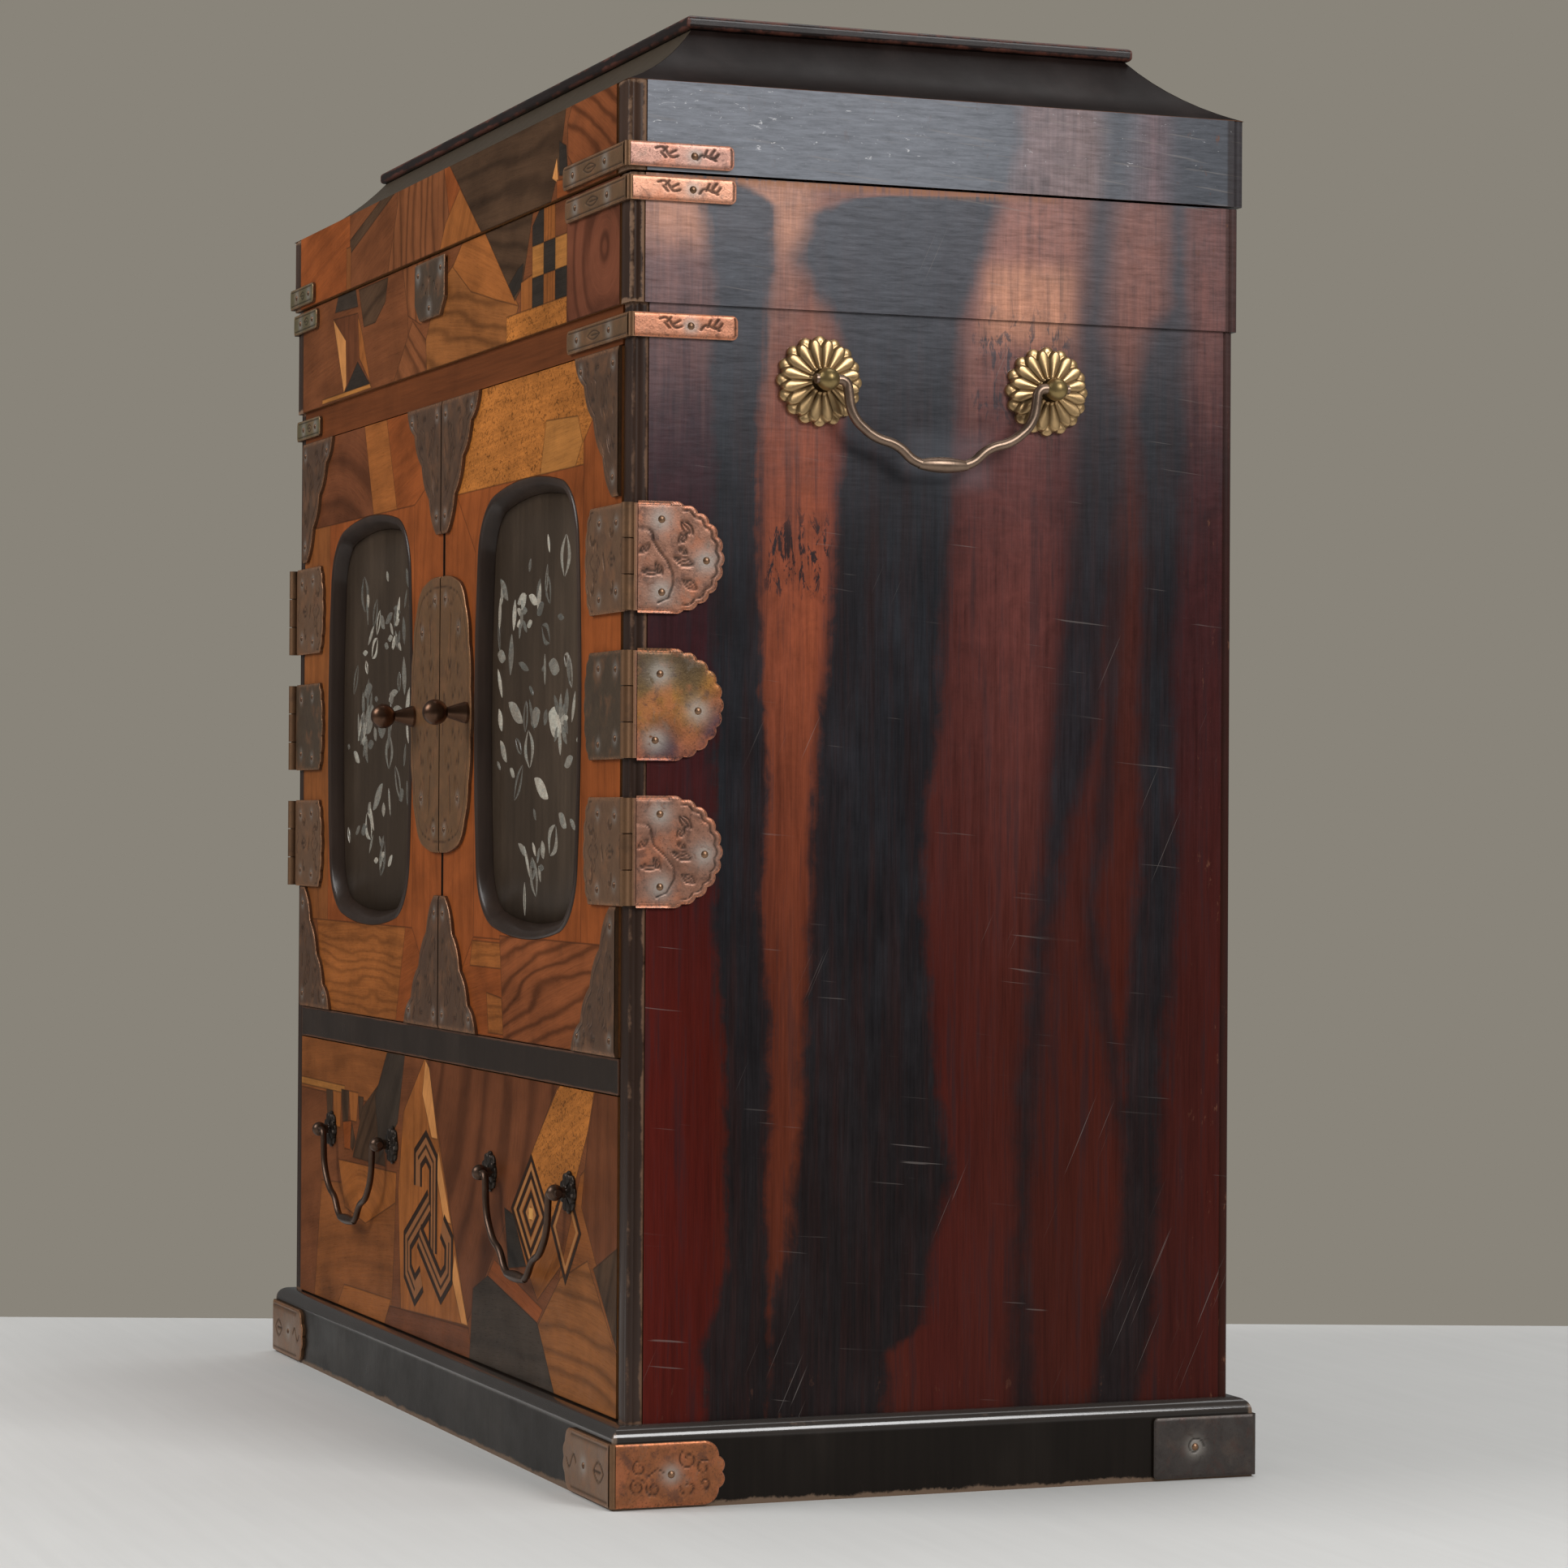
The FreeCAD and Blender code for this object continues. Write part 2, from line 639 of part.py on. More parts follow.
def rosette(y, z):
    """Flower-shaped plate on the right side: a petalled rim and a low dome."""
    inner = ROSETTE_RADIUS - PETAL_ROUND
    knots = []
    for index in range(ROSETTE_PETALS):
        angle = 2 * math.pi * index / ROSETTE_PETALS
        knots.append((y + inner * math.cos(angle), z + inner * math.sin(angle)))
    knots.append(knots[0])
    petals = outline(on_side(half_width), knots[0], lobes(knots, -PETAL_ROUND))
    rim = petals.extrude(Vector(ROSETTE_RIM, 0, 0))
    edge = ROSETTE_RADIUS - ROSETTE_STEP
    steps = [(edge, 0.0)] + lobes([(edge, 0.0), (ROSETTE_BOSS, ROSETTE_DOME)], -ROSETTE_CROWN)
    steps += [(0.0, ROSETTE_DOME)]
    half = outline(lambda r, out: Vector(half_width + out, y + r, z), (0.0, 0.0), steps)
    dome = half.revolve(Vector(half_width, y, z), Vector(1, 0, 0), 360)
    return joined([rim, dome])


def drawer_boards(left, right, front, back, low, high, wall, bottom):
    """Two sides, the back and the bottom of a drawer box, behind its front."""
    sides = [block((left, front, low), (left + wall, back, high))]
    sides.append(block((right - wall, front, low), (right, back, high)))
    back_board = block((left + wall, back - wall, low), (right - wall, back, high))
    floor = block((left + wall, front, low), (right - wall, back - wall, low + bottom))
    return sides + [back_board, floor]


def make_plinth():
    half_x = half_width + PLINTH_OVERHANG
    half_y = half_depth + PLINTH_OVERHANG
    deep = PLINTH_RAIL_DEPTH
    write("plinth_rails", mitred_frame(half_x, half_y, deep, deep, 0.0, PLINTH_HEIGHT, plinth_section))
    board_base = PLINTH_HEIGHT - BOTTOM_THICKNESS
    low = (deep - half_x, deep - half_y, board_base)
    board = block(low, (half_x - deep, half_y - deep, PLINTH_HEIGHT))
    half_bearer = PLINTH_BEARER_WIDTH / 2
    bearer = block((-half_bearer, deep - half_y, 0.0), (half_bearer, half_y - deep, board_base))
    write("bottom_board", [board, bearer])
    base = PLINTH_MOUNT_LIFT
    high = base + PLINTH_MOUNT_HEIGHT
    front_steps = cloud_tab(half_x, half_x - PLINTH_LEG_FRONT, base, high)
    side_steps = cloud_tab(-half_y, PLINTH_LEG_SIDE - half_y, base, high)
    mount = corner_wrap(half_x, -half_y, base, high, front_steps, side_steps)
    write("plinth_front_mounts", both_sides(mount))
    front_steps = tab(half_x, half_x - PLINTH_LEG_SIDE, base, high, REAR_MOUNT_ROUND)
    side_steps = tab(-half_y, PLINTH_LEG_SIDE - half_y, base, high, REAR_MOUNT_ROUND)
    plain = corner_wrap(half_x, -half_y, base, high, front_steps, side_steps)
    write("plinth_rear_mounts", both_sides(other_end(plain)))


def make_carcass():
    side = beaded_board(0.0, SIDE_THICKNESS, post_back, PLINTH_HEIGHT, till_base)
    write("right_side_board", [side])
    write("left_side_board", [other_side(side)])
    back = block((-inner_x, inner_back, PLINTH_HEIGHT), (inner_x, half_depth, till_base))
    write("back_board", [back])
    write("body_corner_posts", both_sides(reeded_post(0.0, post_back, PLINTH_HEIGHT, till_base)))
    rail = block((-inner_x, -half_depth, rail_base), (inner_x, inner_back, cupboard_base))
    write("drawer_divider", [rail])
    rail_back = TOP_RAIL_DEPTH - half_depth
    top_rail = block((-inner_x, -half_depth, top_rail_base), (inner_x, rail_back, till_base))
    write("top_rail", [top_rail])
    floor = block((-inner_x, rail_back, top_rail_base), (inner_x, inner_back, till_base))
    write("till_floor_board", [floor])
    straps = strap_pair(0.0, till_base - BODY_STRAP_INSET - STRAP_WIDTH)
    straps += strap_pair(TILL_OVERHANG, till_top - STRAP_INSET - STRAP_WIDTH)
    write("body_and_till_straps", straps)


def make_till():
    face = half_depth + TILL_OVERHANG
    front = block((-inner_x, -face, till_base), (inner_x, TILL_THICKNESS - face, till_top))
    write("till_front_board", [front])
    back = block((-inner_x, face - TILL_THICKNESS, till_base), (inner_x, face, till_top))
    write("till_back_board", [back])
    side_thickness = SIDE_THICKNESS + TILL_OVERHANG
    side = beaded_board(TILL_OVERHANG, side_thickness, upper_post_back, till_base, till_top)
    write("till_side_boards", both_sides(side))
    post = reeded_post(TILL_OVERHANG, upper_post_back, till_base, till_top)
    write("till_corner_posts", both_sides(post))
    left = -LOCK_WIDTH / 2 - LOCK_FROM_CENTRE
    right = left + LOCK_WIDTH
    high = till_top - LOCK_INSET
    low = high - LOCK_HEIGHT
    clip = LOCK_CLIP
    steps = [(right - clip, low), (right, low + clip), (right, high - clip / 2)]
    steps += [(right - clip / 2, high), (left + clip / 2, high), (left, high - clip / 2)]
    steps += [(left, low + clip)]
    plate = outline(on_front(-face), (left + clip, low), steps).extrude(Vector(0, -SHEET, 0))
    write("till_lock_plate", [plate])


def make_lid():
    half_x = half_width + LID_OVERHANG
    half_y = half_depth + LID_OVERHANG
    front = block((-inner_x, -half_y, lid_base), (inner_x, LID_THICKNESS - half_y, cove_base))
    write("lid_front_board", [front])
    back = block((-inner_x, half_y - LID_THICKNESS, lid_base), (inner_x, half_y, cove_base))
    write("lid_back_board", [back])
    side_thickness = SIDE_THICKNESS + LID_OVERHANG
    side = beaded_board(LID_OVERHANG, side_thickness, upper_post_back, lid_base, cove_base)
    write("lid_side_boards", both_sides(side))
    post = reeded_post(LID_OVERHANG, upper_post_back, lid_base, cove_base)
    write("lid_corner_posts", both_sides(post))
    deep_x = COVE_RUN_X * COVE_BAR_SHARE
    deep_y = COVE_RUN_Y * COVE_BAR_SHARE
    write("lid_cove", mitred_frame(half_x, half_y, deep_x, deep_y, cove_base, slab_base, cove_section))
    slab_x = half_x - COVE_RUN_X + SLAB_LIP
    slab_y = half_y - COVE_RUN_Y + SLAB_LIP
    slab = block((-slab_x, -slab_y, slab_base), (slab_x, slab_y, slab_base + SLAB_THICKNESS))
    rim = [edge for edge in slab.Edges if edge.BoundBox.ZLength < TOUCH]
    write("lid_top_slab", [slab.makeFillet(SLAB_ROUND, rim)])
    write("lid_straps", strap_pair(LID_OVERHANG, lid_base + STRAP_INSET))


def make_hinges():
    leaves = []
    pins = []
    for low in hinge_levels():
        leaves += both_sides(side_leaf(low))
        place = hinge_line(low)
        pins += both_sides(cylinder(PIN_RADIUS, place(0.0), place(HINGE_HEIGHT)))
    write("door_hinge_side_leaves", leaves)
    lower, upper, pin = lid_hinge(LID_HINGE_SPACING / 2)
    write("lid_hinge_lower_leaves", both_sides(lower))
    write("lid_hinge_upper_leaves", both_sides(upper))
    write("hinge_pins", pins + both_sides(pin))


def make_doors():
    low = (DOOR_GAP, -half_depth, door_low)
    high = (inner_x - DOOR_GAP, DOOR_THICKNESS - half_depth, door_high)
    opening = window_outline(-half_depth - CUT_PAST, 0.0)
    through = Vector(0, DOOR_THICKNESS + 2 * CUT_PAST, 0)
    frame = block(low, high).cut(opening.extrude(through))
    moulding_front = -half_depth - MOULDING_PROUD
    deep = Vector(0, MOULDING_PROUD + PANEL_RECESS, 0)
    outer = window_outline(moulding_front, 0.0).extrude(deep)
    inner = window_outline(moulding_front, MOULDING_WIDTH).extrude(deep)
    ring = outer.cut(inner)
    rim = [edge for edge in ring.Edges if edge.BoundBox.YMax < moulding_front + TOUCH]
    moulding = ring.makeFillet(MOULDING_ROUND, rim)
    panel_face = window_outline(PANEL_RECESS - half_depth, 0.0)
    panel = panel_face.extrude(Vector(0, PANEL_THICKNESS, 0))
    mounts = [lock_plate_half()]
    for x, way_x in ((low[0], 1), (high[0], -1)):
        for z, way_z in ((low[2], 1), (high[2], -1)):
            mounts.append(door_corner_mount(x, z, way_x, way_z))
    pull_x = plate_reach - KNOB_FROM_PLATE_EDGE
    pull = knob(pull_x, door_middle, -half_depth - SHEET, KNOB_LENGTH, KNOB_RADIUS)
    leaves = [front_leaf(level) for level in hinge_levels()]
    pieces = {"frame": [frame], "window_moulding": [moulding], "lacquer_panel": [panel]}
    pieces.update({"mounts": mounts, "knob": [pull], "hinge_leaves": leaves})
    for name, solids in pieces.items():
        write(f"right_door_{name}", solids)
        write(f"left_door_{name}", [other_side(solid) for solid in solids])


def make_long_drawer():
    low = PLINTH_HEIGHT + DRAWER_GAP
    side = inner_x - DRAWER_GAP
    face = -half_depth
    box_front = face + DRAWER_FRONT
    high = rail_base - DRAWER_GAP
    write("drawer_front", [block((-side, face, low), (side, box_front, high))])
    back = inner_back - DRAWER_BACK_GAP
    sides_high = high - DRAWER_SIDE_DROP
    boards = drawer_boards(-side, side, box_front, back, low, sides_high, DRAWER_SIDE, DRAWER_BOTTOM)
    write("drawer_box", boards)
    level = PLINTH_HEIGHT + HANDLE_RISE
    across = Vector(1, 0, 0)
    posts = []
    for name, way in (("left", -1), ("right", 1)):
        centre = way * (half_width - HANDLE_FROM_SIDE)
        for x in (centre - HANDLE_SPAN / 2, centre + HANDLE_SPAN / 2):
            base = Vector(x, face, level)
            posts.append(eye_post(base, Vector(0, -1, 0), HANDLE_STANDOFF, across, HANDLE_WIRE))
        pivot = Vector(centre, face - HANDLE_STANDOFF, level)
        handle = bail(pivot, across, HANDLE_SPAN, HANDLE_DROP, HANDLE_WIRE)
        write(f"drawer_bail_{name}", [handle])
    write("drawer_handle_posts", posts)


def make_side_bails():
    level = till_base - BAIL_BELOW_TILL
    rosettes = []
    eyes = []
    for y in (BAIL_CENTRE_Y - BAIL_SPAN / 2, BAIL_CENTRE_Y + BAIL_SPAN / 2):
        rosettes += both_sides(rosette(y, level))
        base = Vector(half_width + ROSETTE_DOME, y, level)
        standoff = BAIL_STANDOFF - ROSETTE_DOME
        eyes += both_sides(eye_post(base, Vector(1, 0, 0), standoff, Vector(0, 1, 0), BAIL_WIRE))
    write("side_rosettes", rosettes)
    write("side_bail_eyes", eyes)
    pivot = Vector(half_width + BAIL_STANDOFF, BAIL_CENTRE_Y, level)
    handle = bail(pivot, Vector(0, 1, 0), BAIL_SPAN, BAIL_DROP, BAIL_WIRE)
    write("side_bail_right", [handle])
    write("side_bail_left", [other_side(handle)])


def make_casing():
    front = DOOR_THICKNESS - half_depth + CASING_GAP
    cheek_x = inner_x - CHEEK_THICKNESS
    wall = PARTITION_THICKNESS / 2
    cheek = block((cheek_x, front, cupboard_base), (inner_x, inner_back, top_rail_base))
    write("casing_cheeks", both_sides(cheek))
    partition = block((-wall, front, cupboard_base), (wall, inner_back, top_rail_base))
    write("casing_partition", [partition])
    pitch = (DOOR_OPENING + SHELF_THICKNESS) / SMALL_DRAWERS
    shelf_tops = [cupboard_base + pitch * index for index in range(1, SMALL_DRAWERS)]
    shelves = []
    for top in shelf_tops:
        shelves.append(block((-cheek_x, front, top - SHELF_THICKNESS), (-wall, inner_back, top)))
    top = shelf_tops[-1]
    shelves.append(block((wall, front, top - SHELF_THICKNESS), (cheek_x, inner_back, top)))
    write("casing_shelves", shelves)
    bases = [cupboard_base] + shelf_tops
    for index, base in enumerate(bases):
        make_small_drawer(f"left_small_drawer_{index + 1}", -cheek_x, -wall, front, base, pitch)
    tall = pitch * (SMALL_DRAWERS - 1)
    make_small_drawer("right_small_drawer", wall, cheek_x, front, cupboard_base, tall)


def make_small_drawer(name, left, right, casing_front, base, pitch):
    """Drawer that fills one bay, set back from the doors, with a turned knob."""
    left += SMALL_DRAWER_GAP
    right -= SMALL_DRAWER_GAP
    low = base + SMALL_DRAWER_GAP
    high = base + pitch - SHELF_THICKNESS - SMALL_DRAWER_GAP
    face = casing_front + SMALL_DRAWER_RECESS
    box_front = face + SMALL_DRAWER_FRONT
    back = inner_back - SMALL_DRAWER_BACK_GAP
    front = block((left, face, low), (right, box_front, high))
    wall = SMALL_DRAWER_WALL
    sides_high = high - SMALL_DRAWER_SIDE_DROP
    boards = drawer_boards(left, right, box_front, back, low, sides_high, wall, wall)
    write(name, [front] + boards)
    pull = knob((left + right) / 2, (low + high) / 2, face, SMALL_KNOB_LENGTH, SMALL_KNOB_RADIUS)
    write(f"{name}_knob", [pull])


os.makedirs("parts", exist_ok=True)
make_plinth()
make_carcass()
make_till()
make_lid()
make_hinges()
make_doors()
make_long_drawer()
make_side_bails()
make_casing()
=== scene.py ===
import math

import bpy
import numpy as np
from mathutils import Matrix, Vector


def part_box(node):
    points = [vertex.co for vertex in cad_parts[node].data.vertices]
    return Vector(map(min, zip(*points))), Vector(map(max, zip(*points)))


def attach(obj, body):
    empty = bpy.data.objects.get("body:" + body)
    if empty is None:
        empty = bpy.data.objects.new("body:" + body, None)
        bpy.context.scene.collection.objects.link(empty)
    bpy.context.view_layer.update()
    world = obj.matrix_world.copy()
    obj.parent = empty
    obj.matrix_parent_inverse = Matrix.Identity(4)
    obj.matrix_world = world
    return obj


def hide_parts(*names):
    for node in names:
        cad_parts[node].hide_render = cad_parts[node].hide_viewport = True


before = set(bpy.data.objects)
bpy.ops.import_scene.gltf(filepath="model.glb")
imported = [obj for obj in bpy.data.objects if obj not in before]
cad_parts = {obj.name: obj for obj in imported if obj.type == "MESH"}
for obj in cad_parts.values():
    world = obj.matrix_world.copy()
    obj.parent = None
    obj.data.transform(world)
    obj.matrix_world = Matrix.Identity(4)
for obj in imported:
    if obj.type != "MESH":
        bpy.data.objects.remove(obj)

bl_info = {
    "name": "Small drawer chest dressing",
    "version": (1, 0, 0),
    "blender": (4, 5, 0),
    "location": "3D View > Sidebar > Chest",
    "description": "Lacquer, veneers, metalwork and inlays for a small table chest",
    "category": "Object",
}

MM = 0.001
TURN = 2 * math.pi


def paint(code):
    """Linear colour of a six-figure screen colour."""
    parts = [int(code[k:k + 2], 16) / 255 for k in (0, 2, 4)]
    return tuple(c / 12.92 if c < 0.04045 else ((c + 0.055) / 1.055) ** 2.4 for c in parts)


def window_ring(inset):
    """Window outline set in by a distance: side, corner and end arcs that touch, mirrored both ways."""
    (half_x, half_z), (corner, side_bow, end_bow) = WINDOW_HALF, WINDOW_ARCS
    side_x, end_z = half_x - side_bow, half_z - end_bow
    side_reach, end_reach, gap = side_bow - corner, end_bow - corner, math.hypot(side_x, end_z)
    along = (side_reach ** 2 - end_reach ** 2 + gap ** 2) / (2 * gap)
    across = math.sqrt(side_reach ** 2 - along ** 2)
    corner_x = side_x - along * side_x / gap - across * end_z / gap
    corner_z = along * end_z / gap - across * side_x / gap
    first, last = math.atan2(corner_z, corner_x - side_x), math.atan2(corner_z - end_z, corner_x)
    arcs = ((side_x, 0.0, side_bow, 0.0, first, 10), (corner_x, corner_z, corner, first, last, 14),
            (0.0, end_z, end_bow, last, math.pi / 2, 8))
    quarter = []
    for x, z, radius, start, stop, count in arcs:
        turn, reach = np.linspace(start, stop, count, endpoint=False), radius - inset
        quarter.append(np.stack([x + reach * np.cos(turn), z + reach * np.sin(turn)], -1))
    quarter = np.vstack(quarter + [[(0.0, half_z - inset)]])
    flipped = quarter[::-1] * (-1.0, 1.0)
    upper = np.vstack([quarter, flipped[1:]])
    return np.vstack([upper, -upper[1:-1]]) + WINDOW_MIDDLE


def add_rings(gathering, place, rings, heights, closed=False):
    """Surface through rings of points, each at its own height; closed when its section is a loop too."""
    flat = np.stack(rings)
    heights = np.broadcast_to(np.array(heights)[:, None], flat.shape[:2])
    gathering.cover(place, flat, heights, wrap=True, closed=closed)


def low_high(node):
    """Lowest and highest corner of a CAD node in millimetres."""
    return tuple(np.array(corner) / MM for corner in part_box(node))


# Faces of the body and the plinth, the body's top, and the thickness of the metal sheet
SIDE_X, _, BODY_TOP = low_high("right_side_board")[1]
PLINTH_X = low_high("plinth_rails")[1][0]
PLINTH_Y = low_high("plinth_rails")[0][1]
FRONT_Y = low_high("right_door_frame")[0][1]
SHEET = low_high("till_front_board")[0][1] - low_high("till_lock_plate")[0][1]
# Height of the joint between till and lid, and where the face of the doors' lacquer panels is on y
LID_SEAM = BODY_TOP + 32.7
PANEL_FACE = -80.4
# The right window's middle, its half width and height, and the radii of its corners, sides and ends
WINDOW_MIDDLE = np.array([79.0, 201.85])
WINDOW_HALF, WINDOW_ARCS = (47.5, 62.25), (19.0, 370.0, 170.0)
# Each door, and the side of the middle that it is on
DOORS = (("right_door", 1.0), ("left_door", -1.0))
# Chased plates in millimetres: how high they stand, how wide their rounded rim and its rubbed part are, and
# how deep they start in the metal under them; how deep their lines and slots are, and how high nails sit
# The rubbed part of a rim is lighter: rubbed bright metal, partly a painted highlight
PLATE_RISE, RIM, RUBBED_HIGHLIGHT, SUNK = 0.3, 0.3, 0.4, 0.04
LINE_DEPTH, SLOT_DEPTH, NAIL_SEAT = 0.2, 0.3, 0.2
# A slot's half width as a share of a line's, the width of its sloping edge, and the points along a line
SLOT_SHARE, SLOT_EDGE, STROKE_STEP = 2.6, 0.09, 0.14


class ChestColours(bpy.types.PropertyGroup):
    """Colours of the chest's finishes."""

    lacquer: bpy.props.FloatVectorProperty(
        name="Black lacquer", description="Ground colour of the black lacquered parts",
        default=paint("14110e"), size=3, subtype="COLOR", min=0.0, max=1.0)
    worn: bpy.props.FloatVectorProperty(
        name="Worn edge", description="Brown wood that shows where lacquer has worn off the edges",
        default=paint("593a28"), size=3, subtype="COLOR", min=0.0, max=1.0)
    slate: bpy.props.FloatVectorProperty(
        name="Side stripes", description="Blue-black of the broad stripes on the sides",
        default=paint("171a1e"), size=3, subtype="COLOR", min=0.0, max=1.0)
    copper: bpy.props.FloatVectorProperty(
        name="Copper", description="Rubbed copper of the straps and hinge leaves on the sides",
        default=paint("8c6350"), size=3, subtype="COLOR", min=0.0, max=1.0)
    tarnish: bpy.props.FloatVectorProperty(
        name="Tarnish", description="Dull brown of the metalwork on the front",
        default=paint("7c5c42"), size=3, subtype="COLOR", min=0.0, max=1.0)
    brass: bpy.props.FloatVectorProperty(
        name="Gilt brass", description="Brass of the rosettes and carrying bails",
        default=paint("9a8458"), size=3, subtype="COLOR", min=0.0, max=1.0)
    pearl: bpy.props.FloatVectorProperty(
        name="Mother-of-pearl", description="Shell of the inlaid leaves and petals",
        default=paint("b7b6ab"), size=3, subtype="COLOR", min=0.0, max=1.0)
    backdrop: bpy.props.FloatVectorProperty(
        name="Backdrop", description="Plain ground behind the chest",
        default=paint("89847a"), size=3, subtype="COLOR", min=0.0, max=1.0)
    floor: bpy.props.FloatVectorProperty(
        name="Floor", description="Plain pale floor",
        default=paint("c6c6c4"), size=3, subtype="COLOR", min=0.0, max=1.0)


class ChestSizes(bpy.types.PropertyGroup):
    """Sizes of the chest's small parts."""

    nail_radius: bpy.props.FloatProperty(
        name="Nail radius", description="Radius of a domed nail head",
        default=1.05 * MM, unit="LENGTH", min=0.0)
    nail_height: bpy.props.FloatProperty(
        name="Nail height", description="How far a nail head stands out",
        default=0.55 * MM, unit="LENGTH", min=0.0)
    groove: bpy.props.FloatProperty(
        name="Chased line", description="Half width of a chased line in the metalwork",
        default=0.26 * MM, unit="LENGTH", min=0.0)
    joint: bpy.props.FloatProperty(
        name="Veneer joint", description="Half width of the dark joint between two veneers",
        default=0.16 * MM, unit="LENGTH", min=0.0)
    lens: bpy.props.FloatProperty(
        name="Lens", description="Focal length of the camera", default=98.13, unit="CAMERA")


class Wire:
    """A socket of a material that arithmetic can be written with."""

    def __init__(self, finish, socket):
        self.finish, self.socket = finish, socket

    def maths(self, operation, *values):
        """Result of an operation on this socket and some values."""
        return self.finish.node("ShaderNodeMath", {"operation": operation}, dict(enumerate((self, *values))))

    def __add__(self, other):
        return self.maths("ADD", other)

    __radd__ = __add__

    def __sub__(self, other):
        return self.maths("SUBTRACT", other)

    def __rsub__(self, other):
        return self.maths("MULTIPLY_ADD", -1.0, other)

    def __mul__(self, other):
        return self.maths("MULTIPLY", other)

    __rmul__ = __mul__

    def __truediv__(self, other):
        return self.maths("DIVIDE", other)

    def __pow__(self, other):
        return self.maths("POWER", other)

    def __abs__(self):
        return self.maths("ABSOLUTE")

    def least(self, other):
        """The smaller of two values."""
        return self.maths("MINIMUM", other)

    def most(self, other):
        """The larger of two values."""
        return self.maths("MAXIMUM", other)

    def step(self, low, high):
        """Smooth rise from 0 below low to 1 above high, or a fall from 1 to 0 if high is below low."""
        ends = {1: low, 2: high} if low < high else {1: high, 2: low, 3: 1.0, 4: 0.0}
        return self.finish.node("ShaderNodeMapRange", {"interpolation_type": "SMOOTHSTEP"}, {0: self, **ends})

    def between(self, start, low, high, end):
        """Smooth rise from 0 at the start to 1 at low, and a fall from 1 at high to 0 at the end."""
        return self.step(start, low) * self.step(end, high)


class Finish:
    """A material while it is made. Its places are Object coordinates in millimetres."""

    def __init__(self, name, roughness=0.5, metallic=0.0, coat=0.0, specular=0.5):
        self.material = bpy.data.materials.new(name)
        self.material.use_nodes = True
        self.tree = self.material.node_tree
        self.shader = self.tree.nodes["Principled BSDF"]
        for socket, value in (("Roughness", roughness), ("Metallic", metallic), ("Coat Weight", coat),
                              ("Specular IOR Level", specular), ("Coat Roughness", 0.12)):
            self.shader.inputs[socket].default_value = value
        self._place = None

    def node(self, kind, settings=None, sockets=None, output=0):
        """Adds a node, with its settings first and then the values or links of its sockets.

        A colour may be a six-figure screen colour.
        """
        made = self.tree.nodes.new(kind)
        for name, value in (settings or {}).items():
            if name == "stops":
                elements = made.color_ramp.elements
                elements[0].position, elements[-1].position = value[0][0], value[-1][0]
                for position, _ in value[1:-1]:
                    elements.new(position)
                for element, (_, colour) in zip(elements, value):
                    element.color = (*colour, 1.0)
            elif name == "points":
                curve = made.mapping.curves[0]
                curve.points[0].location, curve.points[1].location = value[0], value[-1]
                for place in value[1:-1]:
                    curve.points.new(*place)
                for point in curve.points:
                    point.handle_type = "VECTOR"
                made.mapping.update()
            else:
                setattr(made, name, value)
        for key, value in (sockets or {}).items():
            if isinstance(value, Wire):
                self.tree.links.new(value.socket, made.inputs[key])
            elif made.inputs[key].type == "RGBA":
                made.inputs[key].default_value = (*(paint(value) if isinstance(value, str) else value), 1.0)
            else:
                made.inputs[key].default_value = value
        return Wire(self, made.outputs[output])

    def place(self):
        """Place in millimetres: the vector and its three parts."""
        if not self._place:
            where = self.node("ShaderNodeTexCoord", output=3)
            vector = self.vector("MULTIPLY", where, (1 / MM,) * 3)
            self._place = (vector, *self.parts(vector))
        return self._place

    def vector(self, operation, first, second, output=0):
        """Result of an operation on two vectors."""
        return self.node("ShaderNodeVectorMath", {"operation": operation}, {0: first, 1: second}, output)

    def joined(self, x, y, z):
        """Vector from three parts."""
        return self.node("ShaderNodeCombineXYZ", None, {0: x, 1: y, 2: z})

    def parts(self, vector):
        """The three parts of a vector."""
        return [self.node("ShaderNodeSeparateXYZ", None, {0: vector}, k) for k in range(3)]

    def noise(self, where, scale, detail, rough, warp=0.0):
        """Noise from 0 to 1 over a place stretched by a scale per millimetre, or by one for each part."""
        stretched = self.vector("MULTIPLY", where, scale if isinstance(scale, tuple) else (scale,) * 3)
        return self.node("ShaderNodeTexNoise", None, {
            "Vector": stretched, "Scale": 1.0, "Detail": detail, "Roughness": rough, "Distortion": warp})

    def mix(self, factor, first, second):
        """Colour between two colours."""
        return self.node("ShaderNodeMix", {"data_type": "RGBA"}, {0: factor, 6: first, 7: second}, 2)

    def blend(self, factor, first, second):
        """Vector between two vectors."""
        return self.node("ShaderNodeMix", {"data_type": "VECTOR"}, {0: factor, 4: first, 5: second}, 1)

    def shade(self, colour, value):
        """Colour made lighter or darker by a factor."""
        return self.node("ShaderNodeHueSaturation", None, {"Color": colour, "Value": value})

    def ramp(self, factor, stops):
        """Colour along a row of (share, colour) stops."""
        return self.node("ShaderNodeValToRGB", {"stops": stops}, {0: factor})

    def curve(self, height, points):
        """Place that follows straight runs between (height, place) points."""
        top, half = CURVE_SPAN
        scaled = [(z / top, (y + half) / (2 * half)) for z, y in points]
        share = self.node("ShaderNodeFloatCurve", {"points": scaled}, {1: height / top})
        return share * (2 * half) - half

    def attribute(self, name):
        """Red, green and blue of a colour attribute, and the colour."""
        colour = self.node("ShaderNodeAttribute", {"attribute_name": name})
        return [self.node("ShaderNodeSeparateColor", None, {0: colour}, k) for k in range(3)] + [colour]

    def normal(self):
        """Outward direction of the surface, in three parts."""
        return self.parts(self.node("ShaderNodeTexCoord", output=1))

